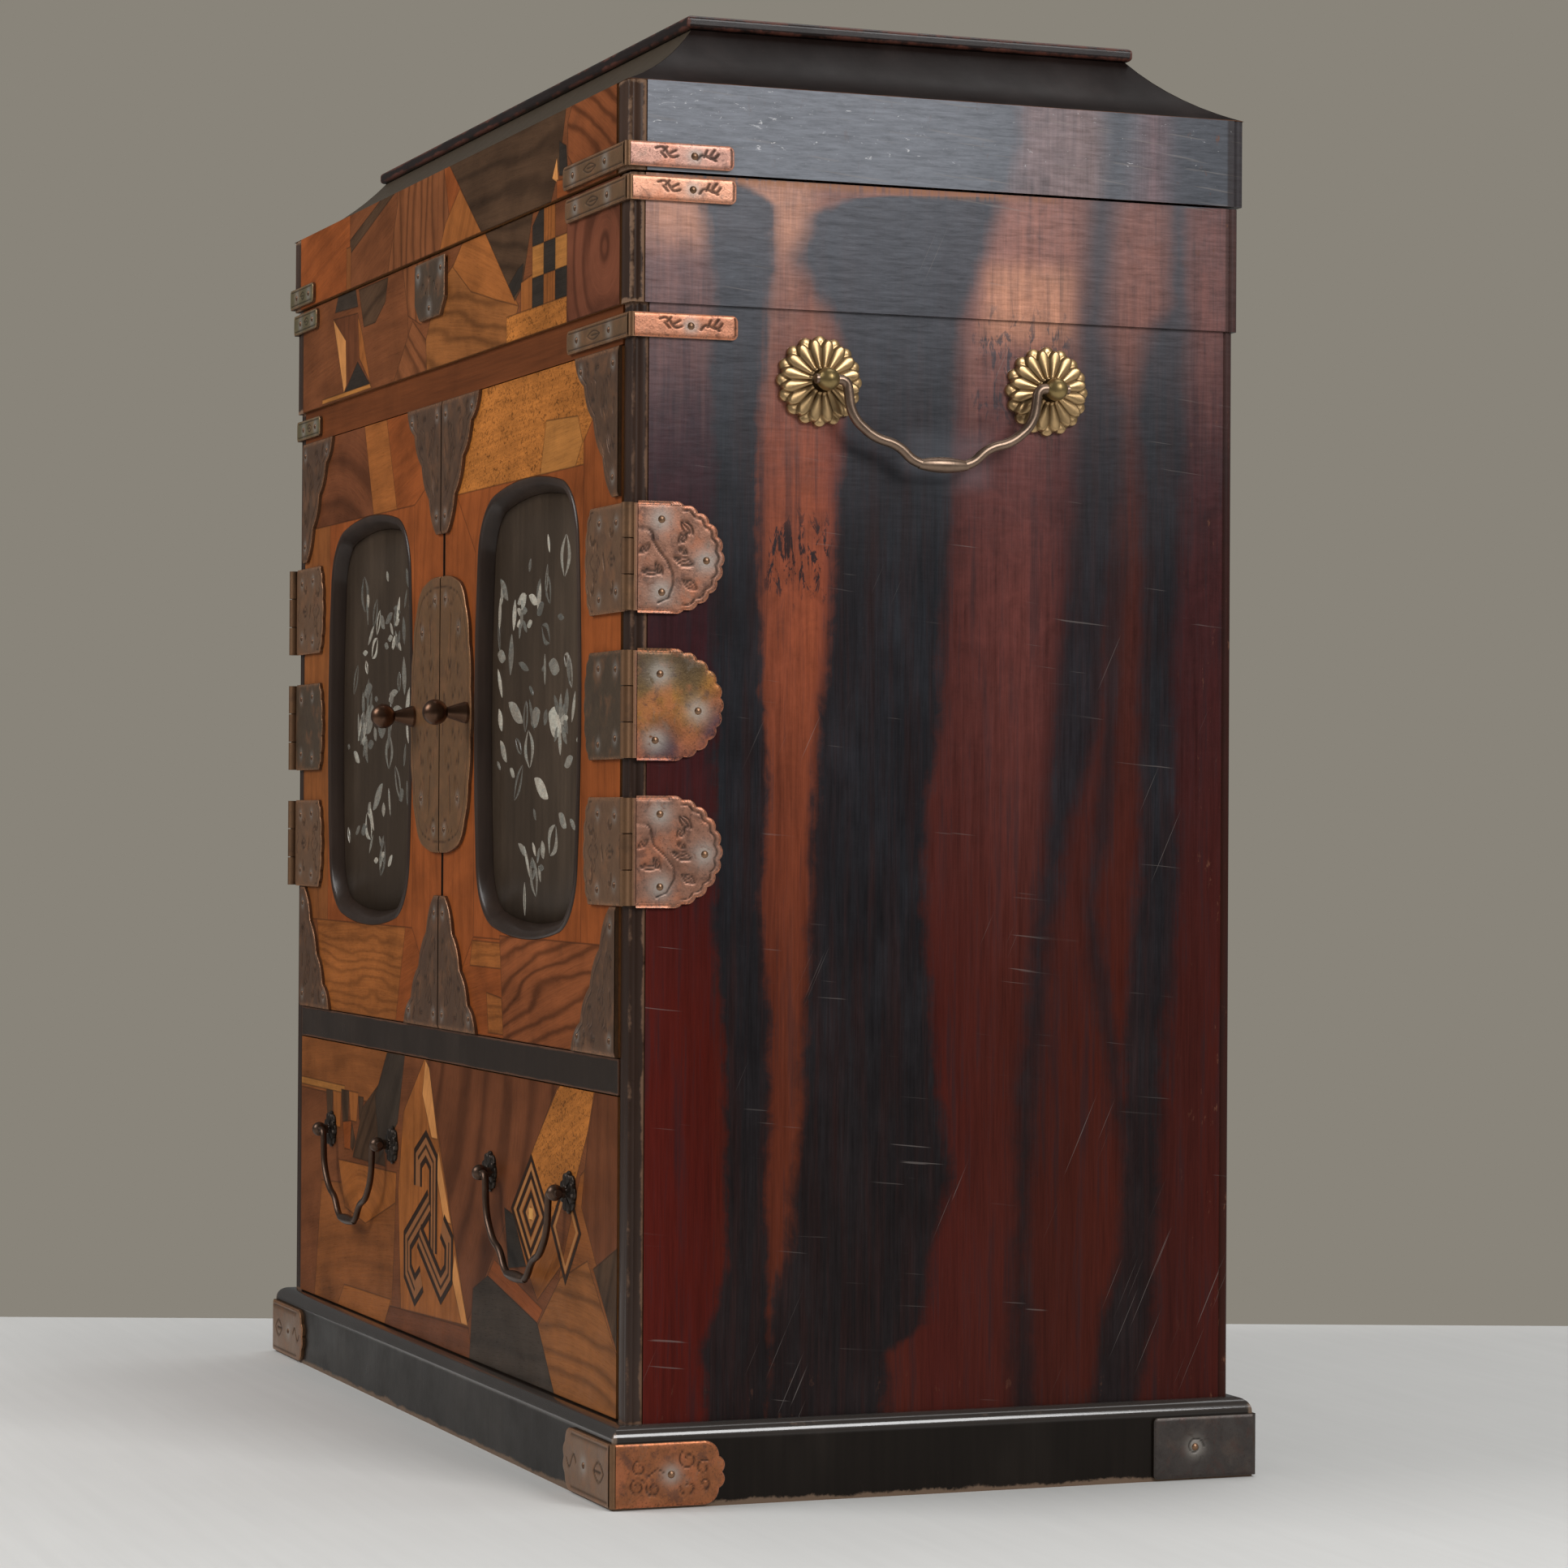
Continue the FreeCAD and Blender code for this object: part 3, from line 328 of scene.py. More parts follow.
    def bump(self, height, strength, distance):
        """Feeds a height, times a distance in millimetres, to the surface's normal."""
        sockets = {"Height": height, "Strength": strength, "Distance": distance * MM}
        self.tree.links.new(self.node("ShaderNodeBump", None, sockets).socket, self.shader.inputs["Normal"])

    def set(self, **sockets):
        """Links values to the shader's sockets and gives the finished material."""
        for name, value in sockets.items():
            self.tree.links.new(value.socket, self.shader.inputs[name.replace("_", " ")])
        return self.material


# Finishes

def lacquer(name, node, ground, worn, wear, reach, rough, coat, specular=0.2, crest=None, painted_front_light=None):
    """Dark lacquer whose edges are rubbed through.

    A point's edge distance is the sum of its two smallest distances from the faces of the node's box,
    and the rubbed share falls off with it, broken up by noise.
    """
    finish = Finish(name, roughness=rough, coat=coat, specular=specular)
    where, x, y, z = finish.place()
    low, high = low_high(node)
    gaps = [(part - a).least(b - part) for part, a, b in zip((x, y, z), low, high)]
    biggest = gaps[0].most(gaps[1]).most(gaps[2])
    edge = gaps[0] + gaps[1] + gaps[2] - biggest
    patch = finish.noise(where, 0.09, 4.0, 0.6)
    grit = finish.noise(where, 1.1, 3.0, 0.6)
    rubbed = (edge * (1 / reach) - (patch * 2.2 + grit * 0.8 - 0.9) * wear).step(0.35, -0.15)
    cloud = finish.noise(where, (0.03, 0.03, 0.012), 3.0, 0.6)
    streak = finish.noise(where, (0.5, 0.5, 0.02), 3.0, 0.7)
    tone = finish.mix(cloud.step(0.45, 0.8) * 0.6, ground, tuple(c * 2.2 + 0.004 for c in ground))
    tone = finish.shade(tone, streak * 0.7 + 0.65)
    scuff = finish.noise(where, (0.7, 0.9, 0.16), 6.0, 0.75, 1.5).step(0.66, 0.74) * patch.step(0.42, 0.62)
    tone = finish.mix(scuff * 0.5, tone, "5b4c40")
    # Painted light: faces that look forwards and a little up turn a lighter grey-brown, standing for the
    # light they reflect
    if painted_front_light is not None:
        _, ahead, up = finish.normal()
        facing_front = ahead.step(-0.15, -0.6) * up.step(0.0, 0.2)
        tone = finish.mix(facing_front * (streak * 0.5 + 0.6), tone, painted_front_light)
    tone = finish.mix(rubbed * 0.85, tone, worn)
    smear = finish.noise(where, 0.05, 5.0, 0.65)
    roughness = smear * 0.35 + (rough - 0.14) + rubbed * 0.22 + scuff * 0.15
    finish.bump(grit * 0.5 + streak * 0.5 - rubbed * 0.6, 0.25, 0.12)
    if crest is None:
        return finish.set(Base_Color=tone, Roughness=roughness)
    # Painted highlight: the top of the plinth's bullnose, above the crest height, is mixed towards pale grey
    # and given a fuller coat
    top = z.step(crest, crest + 1.5)
    tone = finish.mix(top * 0.1, tone, "8a817c")
    return finish.set(Base_Color=tone, Roughness=roughness * (1.0 - top * 0.5), Coat_Weight=top * 0.95 + coat)


# Highest height and furthest place from the middle that a side stripe's edge may have
CURVE_SPAN = (380.0, 100.0)
# Front and rear edge of each side stripe as (height, place) points, its depth of colour and its softness
SIDE_STRIPES = (
    ([(0, -66), (22, -63), (38, -65), (50, -60), (60, -57), (120, -59), (150, -62), (300, -63), (334, -66),
      (334.7, -66), (335, -98), (380, -98)],
     [(0, -44), (120, -46), (150, -49), (180, -46), (220, -49), (250, -50), (315, -46), (328, -46),
      (334, -56), (334.7, -56), (335, 17), (350, 21), (380, 21)], 1.0, 1.6),
    ([(0, -48), (50, -46), (62, -41), (100, -38), (150, -35), (200, -34), (235, -30), (262, -28), (285, -26),
      (300, -31), (315, -41), (326, -38), (332, -25), (334, 20), (380, 20)],
     [(0, -13), (36, -13), (43, -2), (60, -1), (80, 5), (100, 1), (150, -3), (180, -2), (200, 1), (262, 4),
      (300, 7), (315, 11), (326, 15), (332, 17), (334, 17), (380, 17)], 1.0, 2.2),
    ([(0, 21), (60, 21), (100, 22), (120, 25), (170, 30), (220, 34), (250, 38), (300, 38), (334, 41),
      (334.7, 41), (335, 45), (380, 45)],
     [(0, 30), (60, 26), (120, 30), (150, 34), (170, 38), (200, 47), (250, 51), (280, 54), (300, 48),
      (334, 51), (380, 56)], 0.9, 3.0),
    ([(0, 60), (90, 50), (110, 47), (130, 43), (150, 40), (170, 43), (200, 47), (240, 46), (255, 49),
      (262, 60), (380, 60)],
     [(0, 60), (90, 56), (110, 53), (130, 49), (150, 44), (170, 48), (200, 52), (240, 53), (255, 51),
      (262, 50), (380, 50)], 0.75, 2.5),
    ([(0, 43), (22, 43), (40, 46), (60, 51), (120, 53), (165, 57), (220, 58), (280, 55), (300, 58),
      (308, 64), (334, 65), (380, 63)],
     [(0, 59), (22, 59), (40, 63), (120, 66), (150, 70), (180, 69), (220, 68), (280, 71), (334, 71),
      (334.7, 71), (335, 98), (380, 98)], 0.95, 2.6),
)


# Ground of the sides, low and high on the body, on the till and on the lid, as (place, colour) backwards
# The till's ground is lighter in part from painted sheen, and the lid's grey ground is a painted sheen on
# dark lacquer
SIDE_GROUNDS = (
    ((-84, "4f150e"), (-62, "451008"), (-49, "4a1e12"), (-40, "5c2a19"), (-34, "4d2114"), (0, "431711"),
     (16, "431912"), (30, "3c1710"), (52, "43180f"), (66, "3a1510"), (84, "40150f")),
    ((-84, "361a1d"), (-62, "31161b"), (-50, "763c28"), (-36, "87442b"), (-28, "74392a"), (2, "4a2420"),
     (24, "5f322d"), (36, "452220"), (54, "421e18"), (68, "37191a"), (84, "3b1919")),
    ((-84, "6f453b"), (-66, "6a4239"), (-50, "8a5a45"), (-34, "7d4a34"), (12, "875546"), (26, "8c5847"),
     (38, "7f4e3e"), (50, "78493a"), (64, "6f4235"), (76, "683b31"), (84, "5a322a")),
    ((-84, "746c6b"), (-60, "66676b"), (-40, "66696e"), (-10, "67696f"), (12, "5a5a60"), (24, "745f5d"),
     (42, "735c58"), (50, "55555a"), (60, "61494a"), (68, "54484c"), (84, "2f2c31")),
)


def striped_lacquer(name, slate):
    """Side lacquer: red, brown and orange grounds under broad ragged slate stripes.

    Each stripe lies between two edges that wander with height, and its cover rises with the distance
    inside the nearer edge, pushed to and fro by streaks that are stretched upwards.
    """
    finish = Finish(name, roughness=0.3, coat=0.06, specular=0.08)
    _, x, y, z = finish.place()
    right, front = x.step(-1.0, 1.0), y
    y = y * (right * 2.0 - 1.0)
    flat = finish.joined(x * 0.02 + y, z, 0.0)
    sway = finish.noise(flat, (0.05, 0.022, 1.0), 4.0, 0.6)
    wisp = finish.noise(flat, (0.28, 0.014, 1.0), 4.0, 0.65)
    streak = finish.noise(flat, (0.8, 0.03, 1.0), 4.0, 0.62)
    fine = finish.noise(flat, (2.6, 0.07, 1.0), 3.0, 0.7)
    drift = y + (sway - 0.5) * 7.0
    bite = finish.noise(flat, (0.16, 0.12, 1.0), 5.0, 0.7, 0.5)
    ragged = (wisp - 0.5) * 9.0 + (streak - 0.5) * 7.0 + (fine - 0.5) * 3.0 + (bite - 0.5) * 12.0
    cover = None
    for left, back, depth, soft in SIDE_STRIPES:
        inside = (drift - finish.curve(z, left)).least(finish.curve(z, back) - drift)
        sharp = (1.0 - z.step(255.0, 300.0) * 0.3) * (1.0 / soft)
        stripe = ((inside + ragged * 0.5) * sharp).step(-1.0, 1.3) * depth
        cover = cover.most(stripe) if cover else stripe
    share = (drift + 90.0) / 180.0
    lower, upper, till, lid = (
        finish.ramp(share, [((at + 90) / 180, paint(code)) for at, code in stops]) for stops in SIDE_GROUNDS)
    height = z + (wisp - 0.5) * 60.0 + (streak - 0.5) * 20.0
    tone = finish.mix(height.step(110.0, 235.0), lower, upper)
    tone = finish.mix(height.step(262.0, 318.0), tone, till)
    # Painted sheen: warm orange highlight patches on the till, one at the rear and one at the front, on the
    # right side only
    painted_sheen_rear, painted_sheen_front = y.between(8.0, 16.0, 32.0, 42.0), y.step(-32.0, -40.0)
    glow = (painted_sheen_rear * z.between(292.0, 302.0, 312.0, 320.0)).most(painted_sheen_front * z.step(311.0, 324.0))
    tone = finish.mix(glow * (0.4 + wisp * 0.5) * right, tone, "c98a66")
    # Painted shade: the left side's lid is a darker copy of the right side's sheen-lit lid ground
    lid = finish.mix(right, finish.shade(lid, 0.4), lid)
    on_lid = z.step(LID_SEAM - 0.1, LID_SEAM + 0.1)
    tone = finish.mix(on_lid, tone, lid)
    blotch = (bite - 0.5) * z.step(120.0, 260.0)
    tone = finish.shade(tone, (wisp - 0.5) + (streak - 0.5) + (fine - 0.5) * 0.7 + blotch * 1.3 + 1.0)
    smoke = wisp.step(0.5, 0.68).most(streak.step(0.55, 0.7) * 0.7) * z.step(318.0, 262.0)
    tone = finish.mix(smoke * 0.5, tone, slate)
    fleck = finish.noise(flat, (0.5, 0.13, 1.0), 4.0, 0.7, 0.6)
    band = z.between(262.0, 286.0, 296.0, 312.0) * y.between(6.0, 12.0, 34.0, 42.0)
    blot = z.between(222.0, 234.0, 244.0, 256.0) * y.between(-52.0, -46.0, -32.0, -26.0)
    stain = (fleck + (band + blot) * 0.1).step(0.6, 0.68) * (band + blot * 1.2)
    mottle = finish.noise(flat, (0.06, 0.03, 1.0), 5.0, 0.65)
    dark = finish.mix(z.step(60.0, 210.0), "151314", slate)
    dark = finish.shade(dark, mottle.step(0.35, 0.75) * 0.9 + 0.95)
    dark = finish.mix(wisp.step(0.42, 0.72) * 0.55, dark, "2b1613")
    dark = finish.shade(dark, (streak - 0.5) * 1.2 + (fine - 0.5) * 1.4 + 1.0)
    # The dark stripes turn grey up the till, partly their own grey and partly painted sheen; on the right
    # side's lid, towards its front, they take a painted sheen grey
    dark = finish.mix(z.step(262.0, 330.0) * 0.75, dark, "33373d")
    dark = finish.mix(on_lid * y.step(70.0, -10.0) * right, dark, "64676d")
    tone = finish.mix(cover.most(stain * 0.8) * 0.97, tone, dark)
    brushed = finish.noise(flat, (0.1, 0.85, 1.0), 5.0, 0.78, 0.3)
    tone = finish.shade(tone, (brushed - 0.5) * z.step(225.0, 320.0) * 1.7 + 1.0)
    # Painted sheen: a blue-grey lightening that grows towards the top of the side, more on the right side and
    # towards the front, broken up by the brushed texture; the grey patch adds more painted sheen on the right
    # side
    painted_sheen = (brushed * 2.4 - 0.15) * z.step(224.0, 375.0) * (0.225 - front * 0.001) * (right * 0.5 + 0.5)
    grey = y.between(-14.0, -5.0, 10.0, 17.0) * z.between(255.0, 262.0, 268.0, 276.0)
    painted_sheen = painted_sheen + grey * right * 0.1
    tone = finish.mix(painted_sheen, tone, "9ca0aa")
    nicks = finish.noise(flat, (0.3, 0.75, 1.0), 4.0, 0.7, 1.2)
    nicks = (nicks + y.step(20.0, -80.0) * 0.04).step(0.66, 0.72) * z.step(LID_SEAM + 2.0, LID_SEAM + 8.0)
    tone = finish.mix(nicks * right * 0.7, tone, "d2d1d3")
    hairs = finish.noise(finish.joined(y + z * 0.42, z * 0.45 - y, 0.0), (0.018, 1.5, 1.0), 2.0, 0.4)
    dashes = finish.noise(finish.joined(y - z * 0.08, z + y * 0.1, 0.0), (0.03, 0.9, 1.0), 2.0, 0.5)
    zone = finish.noise(flat, (0.02, 0.02, 1.0), 2.0, 0.5)
    low_right = y.step(20.0, 40.0) * z.step(110.0, 85.0)
    scratch = (hairs + low_right * 0.02).step(0.71, 0.74) * (zone + low_right * 0.2).step(0.52, 0.62)
    high = z.step(325.0, 337.0)
    dash = (dashes + high * 0.06).step(0.7, 0.74) * (zone + high).step(0.4, 0.55)
    pits = finish.noise(flat, (0.6, 0.45, 1.0), 5.0, 0.8)
    pits = (pits + z.step(290.0, 345.0) * 0.06).step(0.72, 0.76)
    tone = finish.mix((scratch * 0.3).most(pits * 0.5).most(dash * 0.25), tone, "8d8580")
    tone = finish.mix(y.step(80.9, 81.6) * 0.6, tone, "2a1c16")
    worn = y.step(66.0, 79.0) + z.step(36.0, 24.0) * 0.5 + z.step(324.0, 334.0) * 0.3
    chips = finish.noise(flat, (0.35, 0.12, 1.0), 5.0, 0.7).step(0.62, 0.68) * worn
    tone = finish.mix(chips * 0.5, tone, "6b4634")
    rim = z.between(LID_SEAM - 3.0, LID_SEAM - 0.6, LID_SEAM, LID_SEAM + 0.1)
    rim = rim * (y + (sway - 0.5) * 60.0).step(30.0, 10.0)
    tone = finish.mix(rim * streak.step(0.35, 0.55) * 0.8, tone, "9a6a4c")
    smear = finish.noise(flat, (0.07, 0.05, 1.0), 5.0, 0.7)
    craze = finish.noise(flat, (0.25, 1.4, 1.0), 3.0, 0.6) + brushed * z.step(225.0, 320.0) * 1.2
    outward = finish.normal()[0] * (right * 2.0 - 1.0)
    plain = finish.shade("3a241a", streak * 0.8 + fine * 0.5 + 0.35)
    tone = finish.mix(outward.step(0.3, 0.7), plain, tone)
    finish.bump(streak * 0.5 + fine * 0.35 + craze * 0.35 - scratch * 0.7 - pits * 0.6, 0.35, 0.16)
    roughness = smear * 0.26 + z.step(270.0, 330.0) * 0.1 + 0.2 + scratch * 0.2 + craze * 0.06
    gloss = z.step(60.0, 230.0) * 0.14 + z.step(200.0, 335.0) * 0.95 - z.step(334.0, 335.5) * 0.2
    return finish.set(Base_Color=tone, Roughness=roughness, Coat_Weight=gloss)


# Each wood: its colour, the strength and number per millimetre of its dark lines, and its burl
WOODS = {
    "amber": ("804b25", 0.3, 0.1, 0.0),
    "honey": ("925628", 0.3, 0.12, 0.1),
    "straw": ("a26a33", 0.15, 0.2, 0.15),
    "pale": ("c18249", 0.1, 0.3, 0.0),
    "burl": ("a5652c", 0.25, 0.2, 1.0),
    "ember": ("84451f", 0.25, 0.12, 0.0),
    "russet": ("6f4024", 0.3, 0.08, 0.0),
    "ripple": ("8c5226", 0.55, 0.26, 0.2),
    "cherry": ("663a22", 0.3, 0.12, 0.0),
    "walnut": ("6b3d24", 0.75, 0.05, 0.0),
    "figured": ("683b28", 0.8, 0.11, 0.0),
    "grained": ("865229", 0.7, 0.14, 0.1),
    "zebra": ("7e4626", 1.0, 0.16, 0.0),
    "stripe": ("7a4829", 0.85, 0.13, 0.0),
    "slate": ("3f342b", 0.45, 0.1, 0.0),
    "umber": ("4a3525", 0.7, 0.13, 0.0),
    "ebony": ("312a24", 0.2, 0.2, 0.0),
}


def marquetry(name, front, tiles, ground, back, joint, painted_shade_level=1.0, seam_shadow=False):
    """Veneers laid in order on the face that looks forwards, and plain wood behind it.

    A tile is a wood, its grain and the corners of a convex shape. A point's depth in a tile is its least
    distance inside the tile's sides, and the joint is drawn where that is near nought. The grain is the
    slope of its fibres in degrees, or the centre that its year rings run round. With a seam shadow, a dark
    painted shadow lies at x = 0, where two doors meet.
    """
    gloss = 0.42
    finish = Finish(name, roughness=gloss, specular=0.05)
    where, x, y, z = finish.place()
    flat = finish.joined(x, z, 1.0)

    def centre_of(grain, corners, seed):
        """Middle of a tile's rings, far off when its fibres run straight."""
        if isinstance(grain, tuple):
            return (*grain, seed)
        middle, tilt = np.mean(corners, 0), math.radians(grain)
        return (middle[0] + 900 * math.sin(tilt), middle[1] - 900 * math.cos(tilt), seed)

    tone, figure = paint(WOODS[ground[0]][0]), WOODS[ground[0]][1:]
    centre = centre_of(ground[1], [(0.0, 0.0)], 0.0)
    seams = None
    for index, (kind, grain, corners) in enumerate(tiles):
        corners = np.array(corners, float)
        ahead = np.roll(corners, -1, 0)
        turn = np.sign((corners[:, 0] * ahead[:, 1] - ahead[:, 0] * corners[:, 1]).sum())
        depth = None
        for (x0, z0), (x1, z1) in zip(corners, ahead):
            length = math.hypot(x1 - x0, z1 - z0)
            nx, nz = -turn * (z1 - z0) / length, turn * (x1 - x0) / length
            side = finish.vector("DOT_PRODUCT", flat, (nx, nz, -nx * x0 - nz * z0), output=1)
            depth = depth.least(side) if depth else side
        inside = depth.step(-0.06, 0.06)
        tone = finish.mix(inside, tone, paint(WOODS[kind][0]))
        figure = finish.blend(inside, figure, WOODS[kind][1:])
        centre = finish.blend(inside, centre, centre_of(grain, corners, 3.7 * (index + 1)))
        rim = abs(depth).step(joint * 2.2, joint * 0.6)
        seams = (seams * (1.0 - inside)).most(rim) if seams else rim
    dx, dz, seed = finish.parts(finish.vector("SUBTRACT", finish.joined(x, z, 0.0), centre))
    across = (dx * dx + dz * dz).maths("SQRT")
    along = dz.maths("ARCTAN2", abs(dx)) * across
    lines, pitch, burl = finish.parts(figure)
    grain = finish.joined(along, across, seed * 9.0)
    wander = finish.noise(grain, (0.011, 0.045, 1.0), 2.0, 0.5)
    ripple = finish.noise(grain, (0.1, 0.06, 1.0), 2.0, 0.5)
    ring = ((across + wander * 26.0 + ripple * 2.5) * pitch * TURN).maths("SINE") * 0.5 + 0.5
    fibre = finish.noise(grain, (0.05, 1.9, 1.0), 4.0, 0.65)
    pores = finish.noise(grain, (0.22, 5.0, 1.0), 2.0, 0.5).step(0.58, 0.72)
    curls = finish.noise(finish.joined(x, z, seed), (0.42, 0.55, 1.0), 4.0, 0.7, 2.2)
    cloud = finish.noise(finish.joined(x, z, seed), (0.035, 0.05, 1.0), 3.0, 0.6)
    dark = (ring ** 3.0) * lines * (fibre * 0.9 + 0.45)
    shadow = finish.noise(finish.joined(x, z, 3.0), (0.022, 0.03, 1.0), 4.0, 0.62, 0.5)
    light = (fibre - 0.5) * 0.75 + (cloud - 0.5) * 0.8 + (shadow - 0.5) * 1.1 - pores * 0.16 + 0.98
    # Painted shade: the whole front's tone is scaled by its shade level
    tone = finish.shade(tone, light * painted_shade_level)
    tone = finish.mix(dark.least(0.85), tone, finish.shade(tone, 0.4))
    tone = finish.mix(curls.step(0.53, 0.62) * burl, tone, finish.shade(tone, 0.42))
    tone = finish.mix(curls.step(0.44, 0.32) * burl * 0.6, tone, finish.shade(tone, 1.4))
    tone = finish.mix(seams * 0.5, tone, "22170f")
    # Painted shadow along the gap where the two doors meet
    if seam_shadow:
        tone = finish.mix(abs(x).step(1.5, 0.7), tone, "0c0806")
    grime = finish.noise(where, 0.06, 5.0, 0.7)
    tone = finish.mix(grime.step(0.58, 0.8) * 0.35, tone, "3a281b")
    forward = y.step(front + 0.2, front + 0.1)
    plain = finish.shade(back, finish.noise(where, (0.06, 0.9, 0.9), 4.0, 0.6) * 0.8 + 0.6)
    finish.bump(fibre * 0.5 - pores * 0.3 - seams * 0.8, 0.22, 0.12)
    roughness = grime * 0.25 + (gloss - 0.12) + pores * 0.12
    return finish.set(Base_Color=finish.mix(forward, plain, tone), Roughness=roughness)


def sawn_wood(name, colour, along, rough=0.62, specular=0.35):
    """Plain board: fibres stretched along one axis, with slow darker bands."""
    finish = Finish(name, roughness=rough, specular=specular)
    where = finish.place()[0]
    fibre = finish.noise(where, tuple(0.03 if k == along else 1.1 for k in range(3)), 4.0, 0.65)
    band = finish.noise(where, tuple(0.006 if k == along else 0.13 for k in range(3)), 3.0, 0.55, 0.5)
    stain = finish.noise(where, 0.025, 4.0, 0.65)
    tone = finish.shade(colour, (fibre - 0.5) * 0.8 + (band - 0.5) + 1.0)
    tone = finish.mix(stain.step(0.5, 0.75) * 0.45, tone, finish.shade(tone, 0.55))
    finish.bump(fibre, 0.3, 0.15)
    return finish.set(Base_Color=tone, Roughness=stain * 0.2 + (rough - 0.1))


def sheet_metal(name, copper, tarnish):
    """Metal of the CAD plates: rubbed copper on the sides and dull brown on the front and back."""
    finish = Finish(name, metallic=0.75, roughness=0.45)
    where, _, y, _ = finish.place()
    cloud = finish.noise(where, 0.16, 4.0, 0.65)
    grit = finish.noise(where, 1.5, 3.0, 0.6)
    side = abs(finish.normal()[0]).step(0.35, 0.8) * y.step(FRONT_Y + 0.6, FRONT_Y + 1.6)
    tone = finish.mix(side, tarnish, copper)
    tone = finish.mix(cloud.step(0.45, 0.75) * 0.65, tone, "4b3a2c")
    tone = finish.mix(grit.step(0.6, 0.75) * 0.5, tone, "3a2d23")
    finish.bump(grit * 0.6 + cloud, 0.2, 0.15)
    return finish.set(Base_Color=tone, Roughness=cloud * 0.3 + 0.3 + grit * 0.08)


def chased_metal(name, bright, grey, age=1.0):
    """Metal of the chased plates: its tone is an attribute, and another holds the grooves, halos and rims."""
    finish = Finish(name, metallic=0.6, roughness=0.42)
    where = finish.place()[0]
    groove, halo, rim, _ = finish.attribute("wear")
    tone = finish.attribute("tone")[3]
    cloud = finish.noise(where, 0.13, 4.0, 0.6)
    patch = finish.noise(where, 0.3, 4.0, 0.65, 0.6)
    bloom = finish.noise(where, (0.21, 0.24, 0.2), 4.0, 0.7, 0.4)
    grit = finish.noise(where, 1.9, 3.0, 0.65)
    tone = finish.shade(tone, (patch - 0.5) * 1.3 * age + 1.01)
    tone = finish.mix(cloud.step(0.5, 0.66) * 0.4, tone, bright)
    tone = finish.mix(bloom.step(0.52, 0.66) * 0.55 * age, tone, "4c3630")
    tone = finish.mix(bloom.step(0.44, 0.3) * 0.4, tone, grey)
    tone = finish.mix(grit.step(0.56, 0.7) * 0.55 * age, tone, "33241c")
    tone = finish.mix(halo * patch.step(0.26, 0.44) * 0.8, tone, "a29c94")
    # Rims lighter: rubbed bright metal, partly a painted highlight along the plate's edge
    tone = finish.mix(rim * grit.step(0.62, 0.4) * 0.65, tone, finish.shade(bright, 1.7))
    tone = finish.mix(groove * 0.88, tone, "1c1410")
    finish.bump(grit * 0.6 + patch * 0.8 - groove, 0.35, 0.18)
    return finish.set(Base_Color=tone, Roughness=cloud * 0.3 + 0.24 + groove * 0.25 + halo * 0.1)


def cast_metal(name, colour, shadow, rough=0.34):
    """Cast or wrought metal, darker in its hollows where an attribute says so."""
    finish = Finish(name, metallic=0.85, roughness=rough)
    where = finish.place()[0]
    groove, _, rim, _ = finish.attribute("wear")
    cloud = finish.noise(where, 0.22, 4.0, 0.6)
    grit = finish.noise(where, 1.4, 3.0, 0.6)
    tone = finish.shade(colour, cloud * 0.8 + 0.62)
    tone = finish.mix((groove * 0.9).most(grit.step(0.6, 0.75) * 0.5), tone, shadow)
    # Rims and petal crowns lighter: rubbed metal, partly a painted highlight
    tone = finish.mix(rim * 0.5, tone, tuple(min(1.0, c * 1.7) for c in colour))
    finish.bump(grit * 0.5 + cloud, 0.2, 0.12)
    return finish.set(Base_Color=tone, Roughness=cloud * 0.25 + (rough - 0.1) + groove * 0.2)


def shell(name, colour):
    """Mother-of-pearl: cool and warm drifts over a pale shell, with fine growth lines."""
    finish = Finish(name, roughness=0.3, coat=0.15)
    where = finish.place()[0]
    glow = finish.attribute("tone")[0]
    drift = finish.noise(where, 0.24, 3.0, 0.6, 1.0)
    lines = finish.noise(where, (0.5, 0.5, 2.4), 3.0, 0.6, 0.8)
    tints = finish.ramp(drift, [(0.25, paint("7d8078")), (0.42, paint("bdb4a2")), (0.55, paint("a8937f")),
                                (0.68, paint("86857b")), (0.8, paint("cfc6b4"))])
    tone = finish.mix(0.6, colour, tints)
    tone = finish.shade(tone, (lines * 1.1 + 0.45) * glow)
    finish.bump(lines, 0.2, 0.1)
    return finish.set(Base_Color=tone, Roughness=drift * 0.25 + 0.12)


def plain_floor(name, colour):
    """Pale floor with slow drifts of tone and a faint long grain."""
    finish = Finish(name, roughness=0.75, specular=0.25)
    where = finish.place()[0]
    drift = finish.noise(where, (0.004, 0.004, 1.0), 4.0, 0.6)
    grain = finish.noise(where, (0.01, 0.25, 1.0), 4.0, 0.65)
    tone = finish.shade(colour, drift * 0.16 + grain * 0.1 + 0.88)
    finish.bump(grain, 0.1, 0.3)
    return finish.set(Base_Color=tone, Roughness=grain * 0.15 + 0.65)


# Shapes

def lattice(rows, columns, wrap=False):
    """Four-sided faces between the points of a grid; wrap joins the last column to the first."""
    row = np.arange(rows - 1)[:, None]
    column = np.arange(columns if wrap else columns - 1)[None, :]
    near = row * columns + column
    far = row * columns + (column + 1) % columns
    return np.stack([near, far, far + columns, near + columns], -1).reshape(-1, 4)


def facing(points, faces, outward):
    """Faces turned so that their normals add up along a direction, or outwards if it is None."""
    a, b, c = (points[faces[:, k]] for k in range(3))
    normals = np.cross(b - a, c - a)
    total = (normals * a).sum() if outward is None else normals.sum(0) @ np.asarray(outward, float)
    return faces if total > 0 else faces[:, ::-1]


